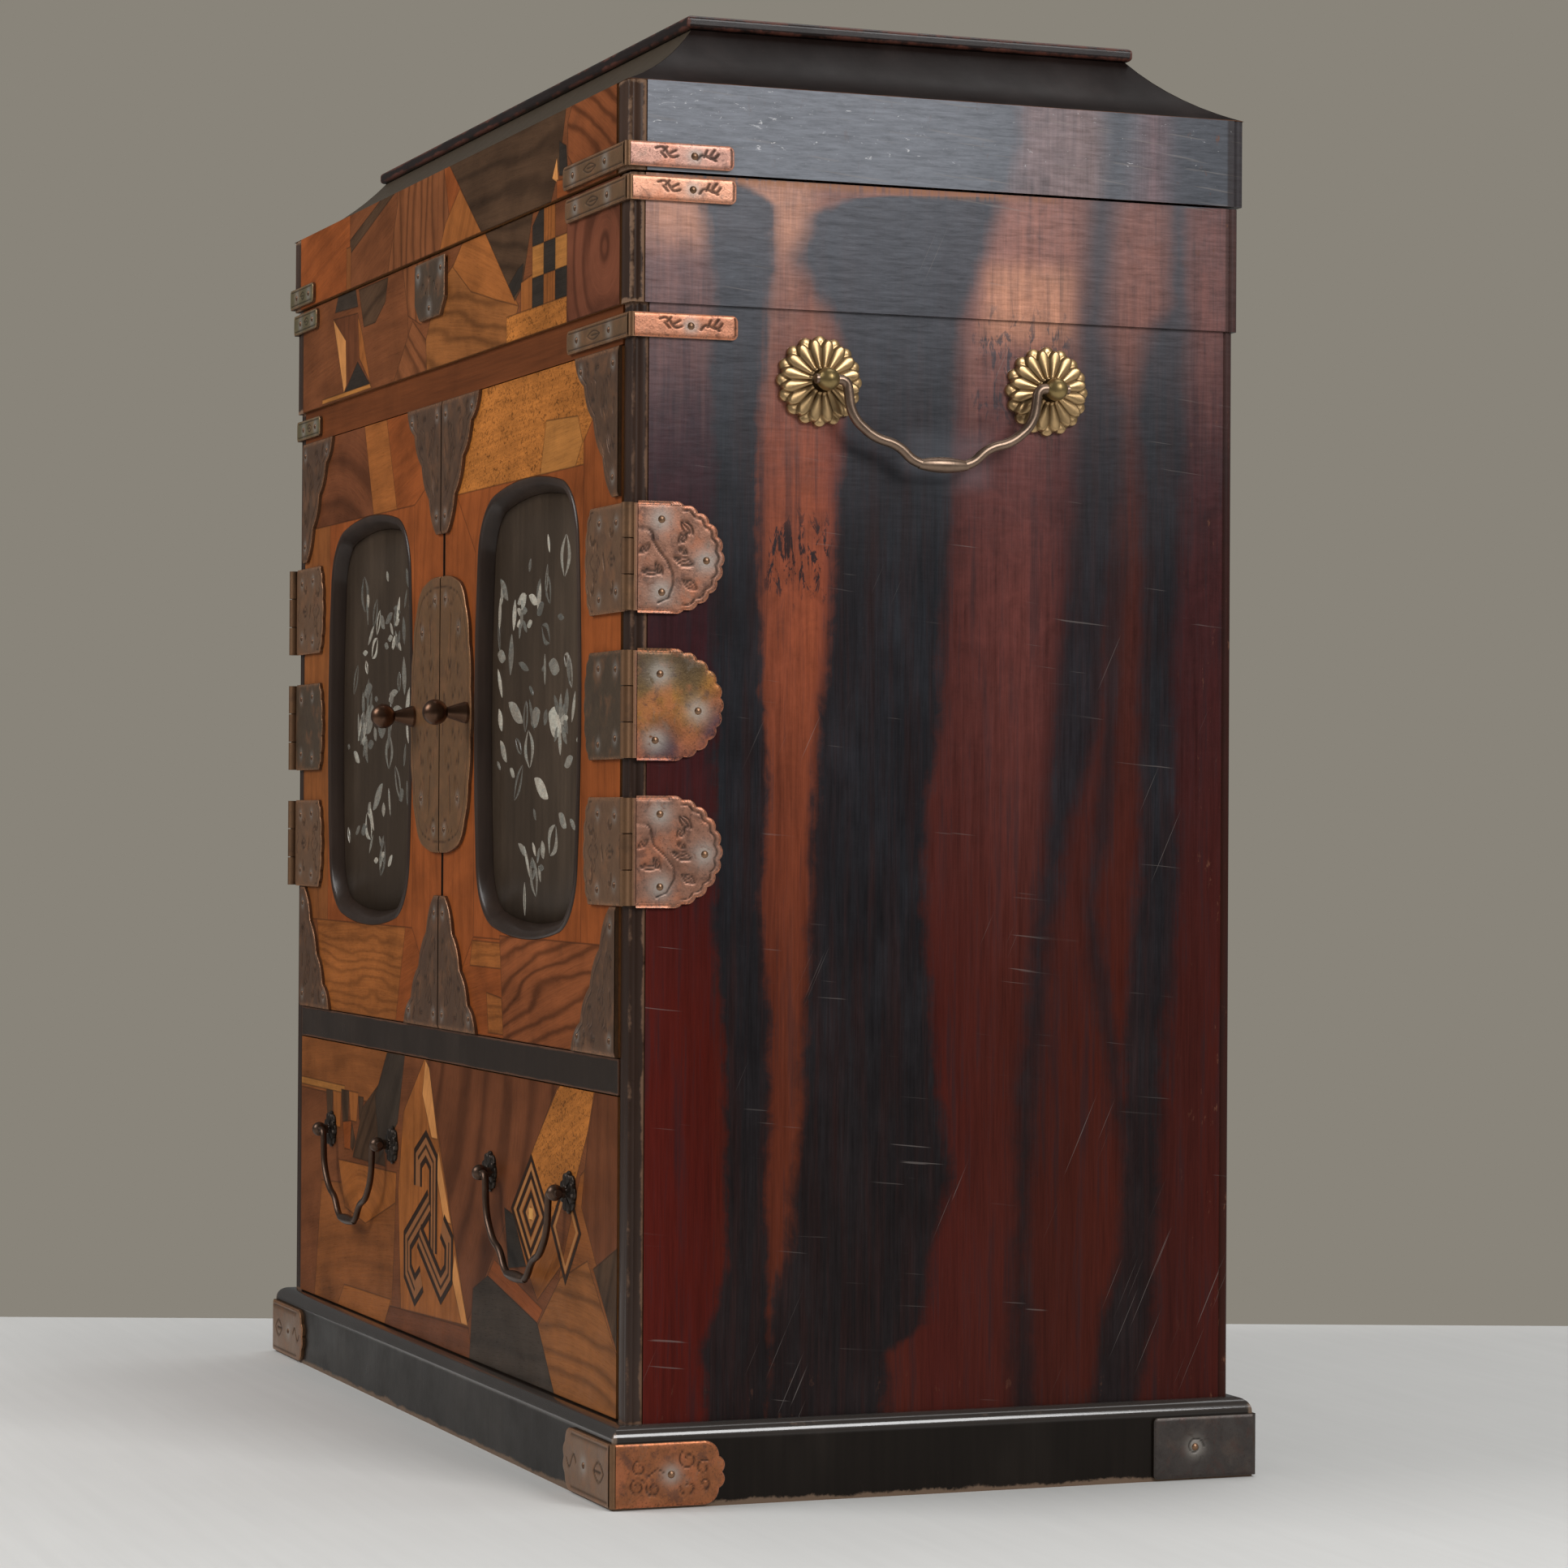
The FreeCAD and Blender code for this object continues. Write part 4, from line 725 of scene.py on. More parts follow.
class Gathering:
    """Surfaces gathered into one piece, and the places of the nails in them."""

    def __init__(self):
        self.points, self.faces, self.tone, self.wear, self.nails, self.count = [], [], [], [], [], 0

    def add(self, points, faces, tone, wear=None):
        """Adds points and faces, with a colour and, per point, the groove, halo and rim of its metal."""
        points = np.asarray(points, float).reshape(-1, 3)
        total = len(points)
        self.points.append(points)
        self.faces += (faces + self.count).tolist()
        self.tone.append(np.insert(np.broadcast_to(tone, (total, 3)), 3, 1.0, 1))
        self.wear.append(np.zeros((total, 4)) if wear is None else np.insert(wear.reshape(-1, 3), 3, 1.0, 1))
        self.count += total

    def cover(self, place, flat, height, tone=(0.5, 0.5, 0.5), wear=None, wrap=False, closed=False):
        """Adds a grid of (a, b) points at a height over a place. Its faces look the place's way out, or away
        from the middle if the grid is closed."""
        points = place(flat[..., 0], flat[..., 1], height).reshape(-1, 3)
        outward = None if closed else way_out(place)
        self.add(points, facing(points, lattice(*flat.shape[:2], wrap), outward), tone, wear)

    def finish(self, name, material, body, slot, smooth=True):
        """Makes the mesh of the piece, which rides with a body."""
        mesh = bpy.data.meshes.new(name)
        mesh.from_pydata((np.concatenate(self.points) * MM).tolist(), [], self.faces)
        for label, values in (("tone", self.tone), ("wear", self.wear)):
            layer = mesh.attributes.new(label, "FLOAT_COLOR", "POINT")
            layer.data.foreach_set("color", np.concatenate(values).astype(np.float32).ravel())
        mesh.polygons.foreach_set("use_smooth", [smooth] * len(mesh.polygons))
        mesh.materials.append(material)
        mesh.update()
        piece = bpy.data.objects.new(name, mesh)
        bpy.context.scene.collection.objects.link(piece)
        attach(piece, body)
        return piece


def nearest(places, marks):
    """Distance from each place to the nearest of some marks."""
    flat = places.reshape(-1, 2)
    apart = flat[:, None, :] - marks[None, :, :]
    return np.sqrt((apart ** 2).sum(-1).min(1)).reshape(places.shape[:-1])


def stroke(points):
    """Points spread evenly along a line through some points."""
    points = np.asarray(points, float)
    reach = np.concatenate([[0.0], np.cumsum(np.linalg.norm(np.diff(points, axis=0), axis=1))])
    at = np.linspace(0.0, reach[-1], max(3, int(reach[-1] / STROKE_STEP)))
    return np.stack([np.interp(at, reach, points[:, k]) for k in range(2)], -1)


def scroll(start, end, sway):
    """S-shaped line: it swings to both sides of the way from start to end as a sine."""
    t = np.linspace(0.0, 1.0, 40)[:, None]
    start, end = np.asarray(start, float), np.asarray(end, float)
    side = np.array([start[1] - end[1], end[0] - start[0]]) / np.linalg.norm(end - start)
    return stroke(start + (end - start) * t + side * sway * np.sin(TURN * t))


def leaf_lines(base, tip, width):
    """Outline and rib of a small leaf: two lines that bow out by half its width, and a straight one."""
    t = np.linspace(0.0, 1.0, 24)[:, None]
    base, tip = np.asarray(base, float), np.asarray(tip, float)
    side = np.array([base[1] - tip[1], tip[0] - base[0]]) / np.linalg.norm(tip - base)
    bow = side * width / 2 * np.sin(math.pi * t)
    way = base + (tip - base) * t
    return np.concatenate([stroke(way + bow), stroke(way - bow), stroke(way[:17])])


def lobed(knots, bulge):
    """Arcs from knot to knot, each bowed to the right of its way as a sine."""
    t = np.linspace(0.0, 1.0, 9)[:-1, None]
    a, b = knots[:-1, None, :], knots[1:, None, :]
    way = b - a
    side = np.stack([way[..., 1], -way[..., 0]], -1) / np.linalg.norm(way, axis=-1, keepdims=True)
    curve = a + way * t + side * bulge * np.sin(math.pi * t)
    return np.vstack([curve.reshape(-1, 2), knots[-1:]])


def half_turn(count):
    """Angles from straight down to straight up, in equal steps."""
    return np.pi * (np.arange(count + 1) / count - 0.5)


def way_out(place):
    """Direction in which heights grow over a place."""
    return np.ravel(place(0.0, 0.0, 1.0) - place(0.0, 0.0, 0.0))


def chased_plate(gathering, place, rows, tone, lines, nails, columns, groove, slots=None, halo=2.4,
                 shine=1.0):
    """Chased cover of a flat plate, from rows of (root, edge) points, with nails in it.

    A point lies at root + t (edge - root). It rises from the rim as 1 - exp(-d / RIM), d being its distance
    from the rim, and sinks in a bell-shaped groove along each line and to the floor of each slot.
    """
    root, edge = rows
    t = np.linspace(0.0, 1.0, columns)[None, :, None]
    flat = root[:, None, :] * (1 - t) + edge[:, None, :] * t
    rim = nearest(flat, np.vstack([edge, flat[0], flat[-1]]))
    height = PLATE_RISE * (1 - np.exp(-rim / RIM)) - SUNK
    wear = np.zeros((*flat.shape[:2], 3))
    if lines is not None:
        bell = np.exp(-(nearest(flat, lines) / groove) ** 2)
        height -= LINE_DEPTH * bell
        wear[..., 0] = bell
    if slots is not None:
        floor = 1 / (1 + np.exp((nearest(flat, slots) - groove * SLOT_SHARE) / SLOT_EDGE))
        height -= SLOT_DEPTH * floor
        wear[..., 0] = np.maximum(wear[..., 0], floor)
    wear[..., 1] = np.exp(-(nearest(flat, np.asarray(nails, float)) / halo) ** 2)
    wear[..., 2] = shine * np.exp(-rim / RUBBED_HIGHLIGHT)
    gathering.cover(place, flat, height, tone(flat.reshape(-1, 2)) if callable(tone) else tone, wear)
    gathering.nails += [(np.ravel(place(a, b, NAIL_SEAT)), way_out(place)) for a, b in nails]


def on_side(x, y, z, way=1.0):
    """Places on a side board: a runs back from y, b runs up from z and h stands out from x."""
    return lambda a, b, h: np.stack(np.broadcast_arrays(way * (x + h), y + a, z + b), -1)


def on_front(x, y, z, way=1.0, rise=1.0):
    """Places on the front: a runs sideways from x, b runs up from z (or down) and h stands out from y."""
    return lambda a, b, h: np.stack(np.broadcast_arrays(x + way * a, y - h, z + rise * b), -1)


def dome_nails(gathering, heads, radius, height, tone):
    """Domed heads at (place, outward) pairs: a quarter ellipse turned about the way out."""
    rings, around = 4, 12
    lean = np.linspace(0.0, math.pi / 2 * 0.92, rings)
    turn = np.arange(around) / around * TURN
    centre = np.array([place for place, _ in heads], float)[:, None, None, :]
    out = np.array([way for _, way in heads], float)
    first = np.cross(out, np.where(np.abs(out[:, 2:]) > 0.9, (1.0, 0.0, 0.0), (0.0, 0.0, 1.0)))
    second = np.cross(out, first)
    out, first, second = (v[:, None, None, :] for v in (out, first, second))
    r = radius * np.cos(lean)[None, :, None, None]
    h = height * np.sin(lean)[None, :, None, None] - 0.1
    c, s = np.cos(turn)[None, None, :, None], np.sin(turn)[None, None, :, None]
    points = centre + out * h + r * (first * c + second * s)
    for head, (_, way) in zip(points, heads):
        flat = head.reshape(-1, 3)
        gathering.add(flat, facing(flat, lattice(rings, around, True), way), tone)
    tops = points[:, -1:, :, :].mean(2) + out[:, 0, :, :] * height * 0.06
    for head, top, (_, way) in zip(points[:, -1], tops, heads):
        fan = np.vstack([head, top])
        ring = np.arange(around)
        faces = np.stack([ring, (ring + 1) % around, np.full(around, around)], -1)
        gathering.add(fan, facing(fan, faces, way), tone)


def petalled(radius, petals, cut, angle, point):
    """Radius of a flower's outline: full at each petal's middle, less by a cut between two petals."""
    return radius - cut * (1 - np.abs(np.cos(petals * angle / 2)) ** point)


def rosette(gathering, place, radius, petals, rise, tone):
    """Double chrysanthemum over a polar grid.

    The lower and upper petals are crowned as a cosine across and fall towards their tips; the upper layer
    ends in a steep step at its own petalled outline, and the middle sinks to a collar round the post.
    """
    rings, around = 52, petals * 18
    angle = np.arange(around) / around * TURN
    share = np.linspace(0.0, 1.0, rings)[:, None]
    outer = petalled(radius, petals, radius * 0.12, angle, 0.9)
    inner = petalled(radius * 0.93, petals, radius * 0.2, angle + math.pi / petals, 1.1)
    r = np.minimum(share * 1.03, 1.0) * (outer - 0.01) + 0.01
    low_crown = np.abs(np.cos(petals * angle / 2)) ** 0.5
    high_crown = np.abs(np.cos(petals * (angle + math.pi / petals) / 2)) ** 0.5
    lower = 0.33 + 0.18 * low_crown * np.clip((outer - r) / (radius * 0.1), 0, 1) ** 0.5
    upper = 0.7 + 0.3 * high_crown * (1 - 0.5 * np.clip(r / (radius * 0.93), 0, 1) ** 2)
    over = 1 / (1 + np.exp((r - inner) / (radius * 0.0075)))
    height = lower + (upper - lower) * over
    hollow = 1 / (1 + np.exp((r - radius * 0.24) / (radius * 0.01)))
    height += (0.4 - height) * hollow + 0.25 * np.exp(-((r / radius - 0.26) / 0.03) ** 2)
    height = np.where(share > 0.985, -0.02, height) * rise
    crown = np.where(over > 0.5, high_crown, low_crown)
    groove = np.maximum((1 - crown) * 0.9, hollow * 0.75)
    groove = np.maximum(groove, np.exp(-((r - inner - radius * 0.02) / (radius * 0.025)) ** 2))
    # The petals' crowns are kept as rims, which the metal makes lighter: rubbed metal, partly a painted
    # highlight
    wear = np.stack([groove, np.zeros_like(groove), crown ** 2 * (1 - hollow) * 0.7], -1)
    flat = np.stack([r * np.cos(angle), r * np.sin(angle)], -1)
    gathering.cover(place, flat, height, tone, wear, wrap=True)


def leaf_shell(gathering, place, base, tip, width, bow, rise, glow):
    """Leaf or petal of shell, as bright as its glow.

    Its half width grows and falls as a sine to the 0.8, it bends aside by a bow, and it is domed across.
    """
    along, across = 13, 7
    t = np.linspace(0.0, 1.0, along)[:, None]
    s = np.linspace(-1.0, 1.0, across)[None, :]
    way = tip - base
    side = np.array([-way[1], way[0]]) / np.linalg.norm(way)
    half = width / 2 * np.sin(math.pi * np.clip(t, 0.02, 0.98)) ** 0.8
    aside = half * s + bow * np.sin(math.pi * t)
    height = rise * (1 - s ** 2) * np.sin(math.pi * t) ** 0.5 - SUNK
    gathering.cover(place, base + way * t[..., None] + side * aside[..., None], height, (glow, glow, glow))


def ribbon(gathering, place, line, half, height, tone, closed=False):
    """Flat strip along a line of points, mitred at its corners and squared at its ends."""
    line = np.asarray(line, float)
    ahead = np.roll(line, -1, 0) - line
    if not closed:
        ahead[-1] = ahead[-2]
    way = ahead / np.linalg.norm(ahead, axis=1, keepdims=True)
    before = np.roll(way, 1, 0)
    if not closed:
        before[0] = way[0]
    mitre = np.stack([-way[:, 1] - before[:, 1], way[:, 0] + before[:, 0]], -1)
    mitre *= 2 / (mitre ** 2).sum(1, keepdims=True)
    mitre = mitre / np.maximum(1.0, np.linalg.norm(mitre, axis=1, keepdims=True) / 3.0)
    flat = np.stack([line + mitre * half, line - mitre * half], 1)
    if closed:
        flat = np.concatenate([flat, flat[:1]])
    gathering.cover(place, flat, height, tone)


# Steps

def dress(material, *nodes):
    """Gives CAD nodes a finish."""
    for node in nodes:
        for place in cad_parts[node].material_slots:
            place.material = material


class Step:
    """What the operators share."""

    bl_options = {"REGISTER", "UNDO"}

    @property
    def colours(self):
        """Colours of the panel, as plain tuples by name."""
        return {name: tuple(getattr(bpy.context.scene.chest_colours, name))
                for name in ChestColours.__annotations__}

    @property
    def sizes(self):
        """Sizes of the panel."""
        return bpy.context.scene.chest_sizes


def square_axes(back):
    """Level direction to the right, direction up and direction back of what looks along -back."""
    right = np.cross((0.0, 0.0, 1.0), back)
    right /= np.linalg.norm(right)
    return right, np.cross(back, right), back


def stand(name, data, axes, place):
    """Camera or lamp whose own axes point along three directions, at a place."""
    held = bpy.data.objects.new(name, data)
    bpy.context.scene.collection.objects.link(held)
    rows = [[*(axis[k] for axis in axes), place[k]] for k in range(3)]
    held.matrix_world = Matrix(rows + [[0, 0, 0, 1]])
    return held


def floor_block(foot, ahead, aside):
    """Slab that reaches away from the foot of the camera, as (way ahead, way aside) corners in metres."""
    reach = ((0.62, -1.2), (0.62, 1.2), (1.47, 1.2), (1.47, -1.2))
    top = [foot + ahead * near + aside * wide for near, wide in reach]
    corners = np.array(top + [corner - (0.0, 0.0, 0.03) for corner in top])
    walls = [(4 + k, 4 + (k + 1) % 4, (k + 1) % 4, k) for k in range(4)]
    mesh = bpy.data.meshes.new("floor")
    mesh.from_pydata(corners.tolist(), [], [(0, 1, 2, 3), (7, 6, 5, 4)] + walls)
    floor = bpy.data.objects.new("floor", mesh)
    bpy.context.scene.collection.objects.link(floor)
    return floor


def studio_air(backdrop):
    """World that lights the chest evenly, mirrors as a dark room and shows as the backdrop."""
    world = bpy.data.worlds.new("studio")
    world.use_nodes = True
    tree = world.node_tree
    rays = tree.nodes.new("ShaderNodeLightPath")
    shown = None
    for ray, light in (("Is Glossy Ray", ROOM_MIRRORED), ("Is Camera Ray", backdrop)):
        tint = tree.nodes.new("ShaderNodeMix")
        tint.data_type = "RGBA"
        tint.inputs[6].default_value = (*ROOM_LIGHT, 1.0)
        tint.inputs[7].default_value = (*light, 1.0)
        tree.links.new(rays.outputs[ray], tint.inputs[0])
        if shown:
            tree.links.new(shown, tint.inputs[6])
        shown = tint.outputs[2]
    tree.links.new(shown, tree.nodes["Background"].inputs["Color"])
    return world


# Light of the room, and how it looks in polished faces; the camera's angles, and its place in metres
ROOM_LIGHT, ROOM_MIRRORED = (0.5, 0.49, 0.48), (0.09, 0.09, 0.088)
CAMERA_TURN, CAMERA_PITCH, CAMERA_ROLL = (math.radians(angle) for angle in (69.053, -0.494, 0.337))
CAMERA_PLACE = np.array([1178.74, -430.54, 171.98]) * MM
# What the lamps point at, and each lamp: name, place in metres, width in metres and watts
LAMP_AIM = np.array([0.0, 0.0, 0.18])
LAMPS = (("key", (-0.3, -1.55, 1.2), 0.9, 20.0), ("side", (1.95, 0.65, 1.23), 0.8, 27.0),
         ("crown", (-0.1, 0.4, 1.75), 1.0, 8.0))


class CHEST_OT_stage(Step, bpy.types.Operator):
    """Floor, backdrop, lamps and camera"""

    bl_idname = "chest.stage"
    bl_label = "Stage"

    def execute(self, context):
        scene = context.scene
        scene.view_settings.view_transform = "Standard"
        away = np.array([math.sin(CAMERA_TURN), -math.cos(CAMERA_TURN), 0.0])
        back = away * math.cos(CAMERA_PITCH) + (0.0, 0.0, math.sin(CAMERA_PITCH))
        right, up, _ = square_axes(back)
        cosine, sine = math.cos(CAMERA_ROLL), math.sin(CAMERA_ROLL)
        lens = bpy.data.cameras.new("chest_camera")
        lens.lens, lens.sensor_width = self.sizes.lens, 36.0
        lens.clip_start, lens.clip_end = 0.05, 20.0
        axes = (cosine * right + sine * up, cosine * up - sine * right, back)
        scene.camera = stand("chest_camera", lens, axes, CAMERA_PLACE)

        floor = floor_block(CAMERA_PLACE * (1.0, 1.0, 0.0), -away, right)
        floor.data.materials.append(plain_floor("pale_floor", self.colours["floor"]))

        scene.world = studio_air(self.colours["backdrop"])
        for name, spot, width, watts in LAMPS:
            lamp = bpy.data.lights.new(name, "AREA")
            lamp.shape, lamp.size, lamp.energy = "SQUARE", width, watts
            back = np.array(spot) - LAMP_AIM
            stand(name, lamp, square_axes(back / np.linalg.norm(back)), spot)
        return {"FINISHED"}


class CHEST_OT_side_lacquer(Step, bpy.types.Operator):
    """Striped lacquer of the two sides"""

    bl_idname = "chest.side_lacquer"
    bl_label = "Side lacquer"

    def execute(self, context):
        stripes = striped_lacquer("striped_lacquer", self.colours["slate"])
        dress(stripes, "right_side_board", "left_side_board", "till_side_boards", "lid_side_boards")
        return {"FINISHED"}


# Each dark lacquered node: how worn it is, how far in from its edges, its ground and the wood that shows;
# None stands for the colours of the panel
LACQUERED = {
    "lid_cove": (0.6, 1.4, "18110f", None),
    "lid_top_slab": (1.1, 1.0, "1f1614", "5a3328"),
    "body_corner_posts": (0.8, 1.3, "2d1f18", "6c503d"),
    "till_corner_posts": (1.2, 1.3, "33231a", "7c5f49"),
    "lid_corner_posts": (1.2, 1.3, "33231a", "7c5f49"),
    "drawer_divider": (0.5, 1.0, "271d16", None),
    "plinth_rails": (1.0, 1.7, "17120e", "6f5b4b"),
    "back_board": (0.4, 2.0, None, None),
    "till_back_board": (0.5, 2.0, None, None),
    "lid_back_board": (0.5, 2.0, None, None),
}
# Coat and specular level of the lacquer where they aren't the usual ones
SHEENS = {"lid_cove": (0.0, 0.03), "plinth_rails": (0.02, 0.1)}
PLINTH_CREST = 16.5
# Section of a window's edge: how far in from the opening, and how far forward
WINDOW_SECTION = ((0.02, 79.2), (0.02, 83.9), (0.3, 84.3), (0.9, 84.6), (1.7, 84.5), (2.4, 83.9),
                  (3.2, 82.4), (4.3, 80.8), (4.4, 79.2), (0.02, 79.2))


def window(body, way, gloss, flat):
    """Softened edge of a door's window and the face of its panel."""
    place = on_front(0.0, 0.0, 0.0, way)
    edge, sheet = Gathering(), Gathering()
    insets, heights = zip(*WINDOW_SECTION)
    add_rings(edge, place, [window_ring(inset) for inset in insets], heights, closed=True)
    piece = edge.finish(body + "_window_edge", gloss, body, "black_lacquer")
    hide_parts(body + "_window_moulding")
    ring = window_ring(4.0)
    middle = ring.mean(0)
    rings = [middle + (ring - middle) * share for share in (1.0, 1.0, 0.7, 0.4, 0.15, 0.002)]
    add_rings(sheet, place, rings, [79.3] + [-PANEL_FACE] * 5)
    sheet.finish(body + "_panel_face", flat, body, "black_lacquer")


class CHEST_OT_black_lacquer(Step, bpy.types.Operator):
    """Dark lacquer of the lid's cove, the posts, the rails and the plinth"""

    bl_idname = "chest.black_lacquer"
    bl_label = "Black lacquer"

    def execute(self, context):
        ground, worn = self.colours["lacquer"], self.colours["worn"]
        for node, (wear, reach, base, rubbed) in LACQUERED.items():
            crest = PLINTH_CREST if node == "plinth_rails" else None
            # The lid's cove gets a painted light on its forward faces
            painted_front_light = "4a4136" if node == "lid_cove" else None
            tones = paint(base) if base else ground, paint(rubbed) if rubbed else worn
            sheen = SHEENS.get(node, (0.1, 0.2))
            dress(lacquer(node + "_lacquer", node, *tones, wear, reach, 0.3, *sheen, crest, painted_front_light), node)
        for body, way in DOORS:
            moulding, panel = body + "_window_moulding", body + "_lacquer_panel"
            gloss = lacquer(moulding + "_lacquer", moulding, paint("2f231c"), paint("5a443a"),
                            0.7, 0.9, 0.32, 0.12)
            flat = lacquer(panel + "_finish", panel, paint("382d23"), paint("4a4238"),
                           0.2, 0.6, 0.4, 0.0, 0.1)
            dress(flat, panel)
            window(body, way, gloss, flat)
        return {"FINISHED"}


# Tiles of each front in the order in which they are laid: the wood, its grain, and its corners as (x, z)
DOOR_FIGURES = {
    "right": [
        ("burl", 2, [(0, 292), (158, 292), (158, 264), (0, 264)]),
        ("straw", 3, [(95, 278), (122, 277), (126, 270), (120, 264), (90, 264)]),
        ("ember", 88, [(0, 275), (12, 264), (31, 264), (31, 138), (0, 112)]),
        ("ember", 91, [(127, 270), (158, 292), (158, 138), (127, 140)]),
        ("ember", 8, [(0, 112), (31, 139), (57, 139), (60, 112)]),
        ("ripple", 2, [(30, 138), (56, 138), (58, 131), (28, 131)]),
        ("ripple", 2, [(44, 124), (58, 123), (60, 113), (46, 113)]),
        ("zebra", 11, [(60, 112), (56, 140), (158, 140), (158, 112)]),
    ],
    "left": [
        ("walnut", (-125, 195), [(-158, 292), (-87, 292), (-76, 264), (-158, 264)]),
        ("honey", 3, [(-87, 292), (-62, 292), (-50, 264), (-76, 264)]),
        ("ember", 10, [(-62, 292), (0, 292), (0, 264), (-50, 264)]),
        ("ember", 89, [(0, 275), (-31, 264), (-31, 139), (0, 112)]),
        ("amber", 91, [(-158, 264), (-127, 264), (-127, 140), (-158, 140)]),
        ("russet", 4, [(-158, 140), (-140, 140), (-130, 112), (-158, 112)]),
        ("ripple", 1, [(-140, 140), (-38, 140), (-48, 112), (-130, 112)]),
        ("ember", 12, [(-38, 140), (-31, 140), (0, 112), (-48, 112)]),
    ],
}

DRAWER_FIGURES = [
    ("amber", 6, [(-132, 58), (-46, 62), (-50, 27), (-58, 21), (-140, 21)]),
    ("honey", 4, [(-104, 28), (-51, 29), (-58, 21), (-112, 21)]),
    ("amber", 3, [(-158, 103), (-56, 103), (-72, 86), (-158, 86)]),
    ("straw", 2, [(-158, 89.2), (-105, 89.2), (-105, 87), (-158, 87)]),
    ("umber", 90, [(-127, 87), (-119, 87), (-120, 76), (-125, 76)]),
    ("honey", 90, [(-119, 87), (-109, 87), (-110, 76), (-117, 76)]),
    ("umber", 90, [(-109, 88), (-100, 88), (-101, 77), (-107, 77)]),
    ("honey", 90, [(-100, 88), (-89, 88), (-91, 79), (-98, 79)]),
    ("umber", 90, [(-89, 87), (-83, 87), (-85, 80), (-88, 80)]),
    ("ember", 20, [(-107, 78), (-97, 79), (-98, 70), (-105, 70)]),
    ("umber", 70, [(-97, 79), (-92, 73), (-95, 70), (-98, 71)]),
    ("honey", (-84, 20), [(-112, 66), (-46, 67), (-47, 58), (-80, 49), (-104, 52)]),
    ("umber", 40, [(-95, 68), (-84, 84), (-66, 92), (-58, 68)]),
    ("slate", 50, [(-70, 88), (-57, 102), (-21, 103), (-24, 95), (-45, 82), (-50, 68), (-64, 68)]),
    ("honey", 86, [(-16, 103), (-46, 80), (-44, 62), (-52, 27), (28, 30)]),
    ("cherry", 2, [(-58, 21), (33, 21), (29, 29.5), (-52, 27)]),
    ("walnut", (-45, 114), [(-14, 103), (110, 103), (84, 80), (68, 66), (28, 30)]),
    ("pale", 60, [(-16, 102), (-12, 100), (-3, 80), (-9, 80), (-19, 92)]),
    ("pale", 60, [(-2, 77), (11, 57), (4, 57), (-4, 70)]),
    ("pale", 60, [(15, 49), (28, 30), (22, 30), (12, 42)]),
    ("walnut", (-45, 114), [(28, 30), (68, 66), (84, 52), (95, 42), (46, 45), (33, 40)]),
    ("honey", 40, [(68, 66), (86, 82), (104, 68), (112, 55), (92, 44), (82, 52)]),
    ("burl", 20, [(84, 81), (108, 101), (112, 103), (142, 103), (134, 92), (128, 79), (102, 66)]),
    ("amber", 0, [(102, 68), (128, 80), (133, 88), (158, 60), (158, 35), (112, 50)]),
    ("cherry", 90, [(140, 103), (158, 103), (158, 40), (129, 72), (134, 90)]),
    ("umber", 70, [(139, 57), (158, 38), (158, 64)]),
    ("slate", 4, [(30, 21), (33, 41), (47, 46), (92, 38), (107, 21)]),
    ("ember", 350, [(47, 46), (53, 51), (97, 42), (92, 38)]),
    ("grained", (120, -190), [(107, 21), (92, 38), (88, 45), (112, 52), (128, 64), (158, 37), (158, 21)]),
    ("ebony", 0, [(62, 66), (70, 65), (82, 52), (66, 50)]),
]

LID_FIGURES = [
    ("ember", 12, [(-160, 358), (-98, 358), (-98, 335), (-160, 335)]),
    ("russet", 14, [(-98, 358), (-45, 358), (-45, 335), (-98, 335)]),
    ("umber", 14, [(-98, 350), (-62, 358), (-47, 358), (-97, 346)]),
    ("amber", 88, [(-102, 348), (-97, 348), (-97, 335), (-102, 335)]),
    ("stripe", 86, [(-42, 358), (8, 358), (10, 342), (2, 335), (-55, 335)]),
    ("ember", 60, [(4, 358), (10, 358), (22, 349), (10, 342)]),
    ("honey", 55, [(20, 350), (41, 335), (0, 335), (6, 342)]),
    ("umber", 357, [(9.5, 358), (120, 358), (117, 350), (111, 343), (108, 335), (41, 335)]),
    ("pale", 90, [(105, 341), (109, 346), (110.5, 339)]),
    ("ebony", 0, [(111, 350), (117, 348), (118.5, 340), (111, 341)]),
    ("ember", 0, [(109, 340), (120, 339), (120, 335), (109, 335)]),
    ("zebra", 335, [(113, 349), (122, 358), (158, 358), (158, 335), (119, 335), (118.5, 345)]),
]

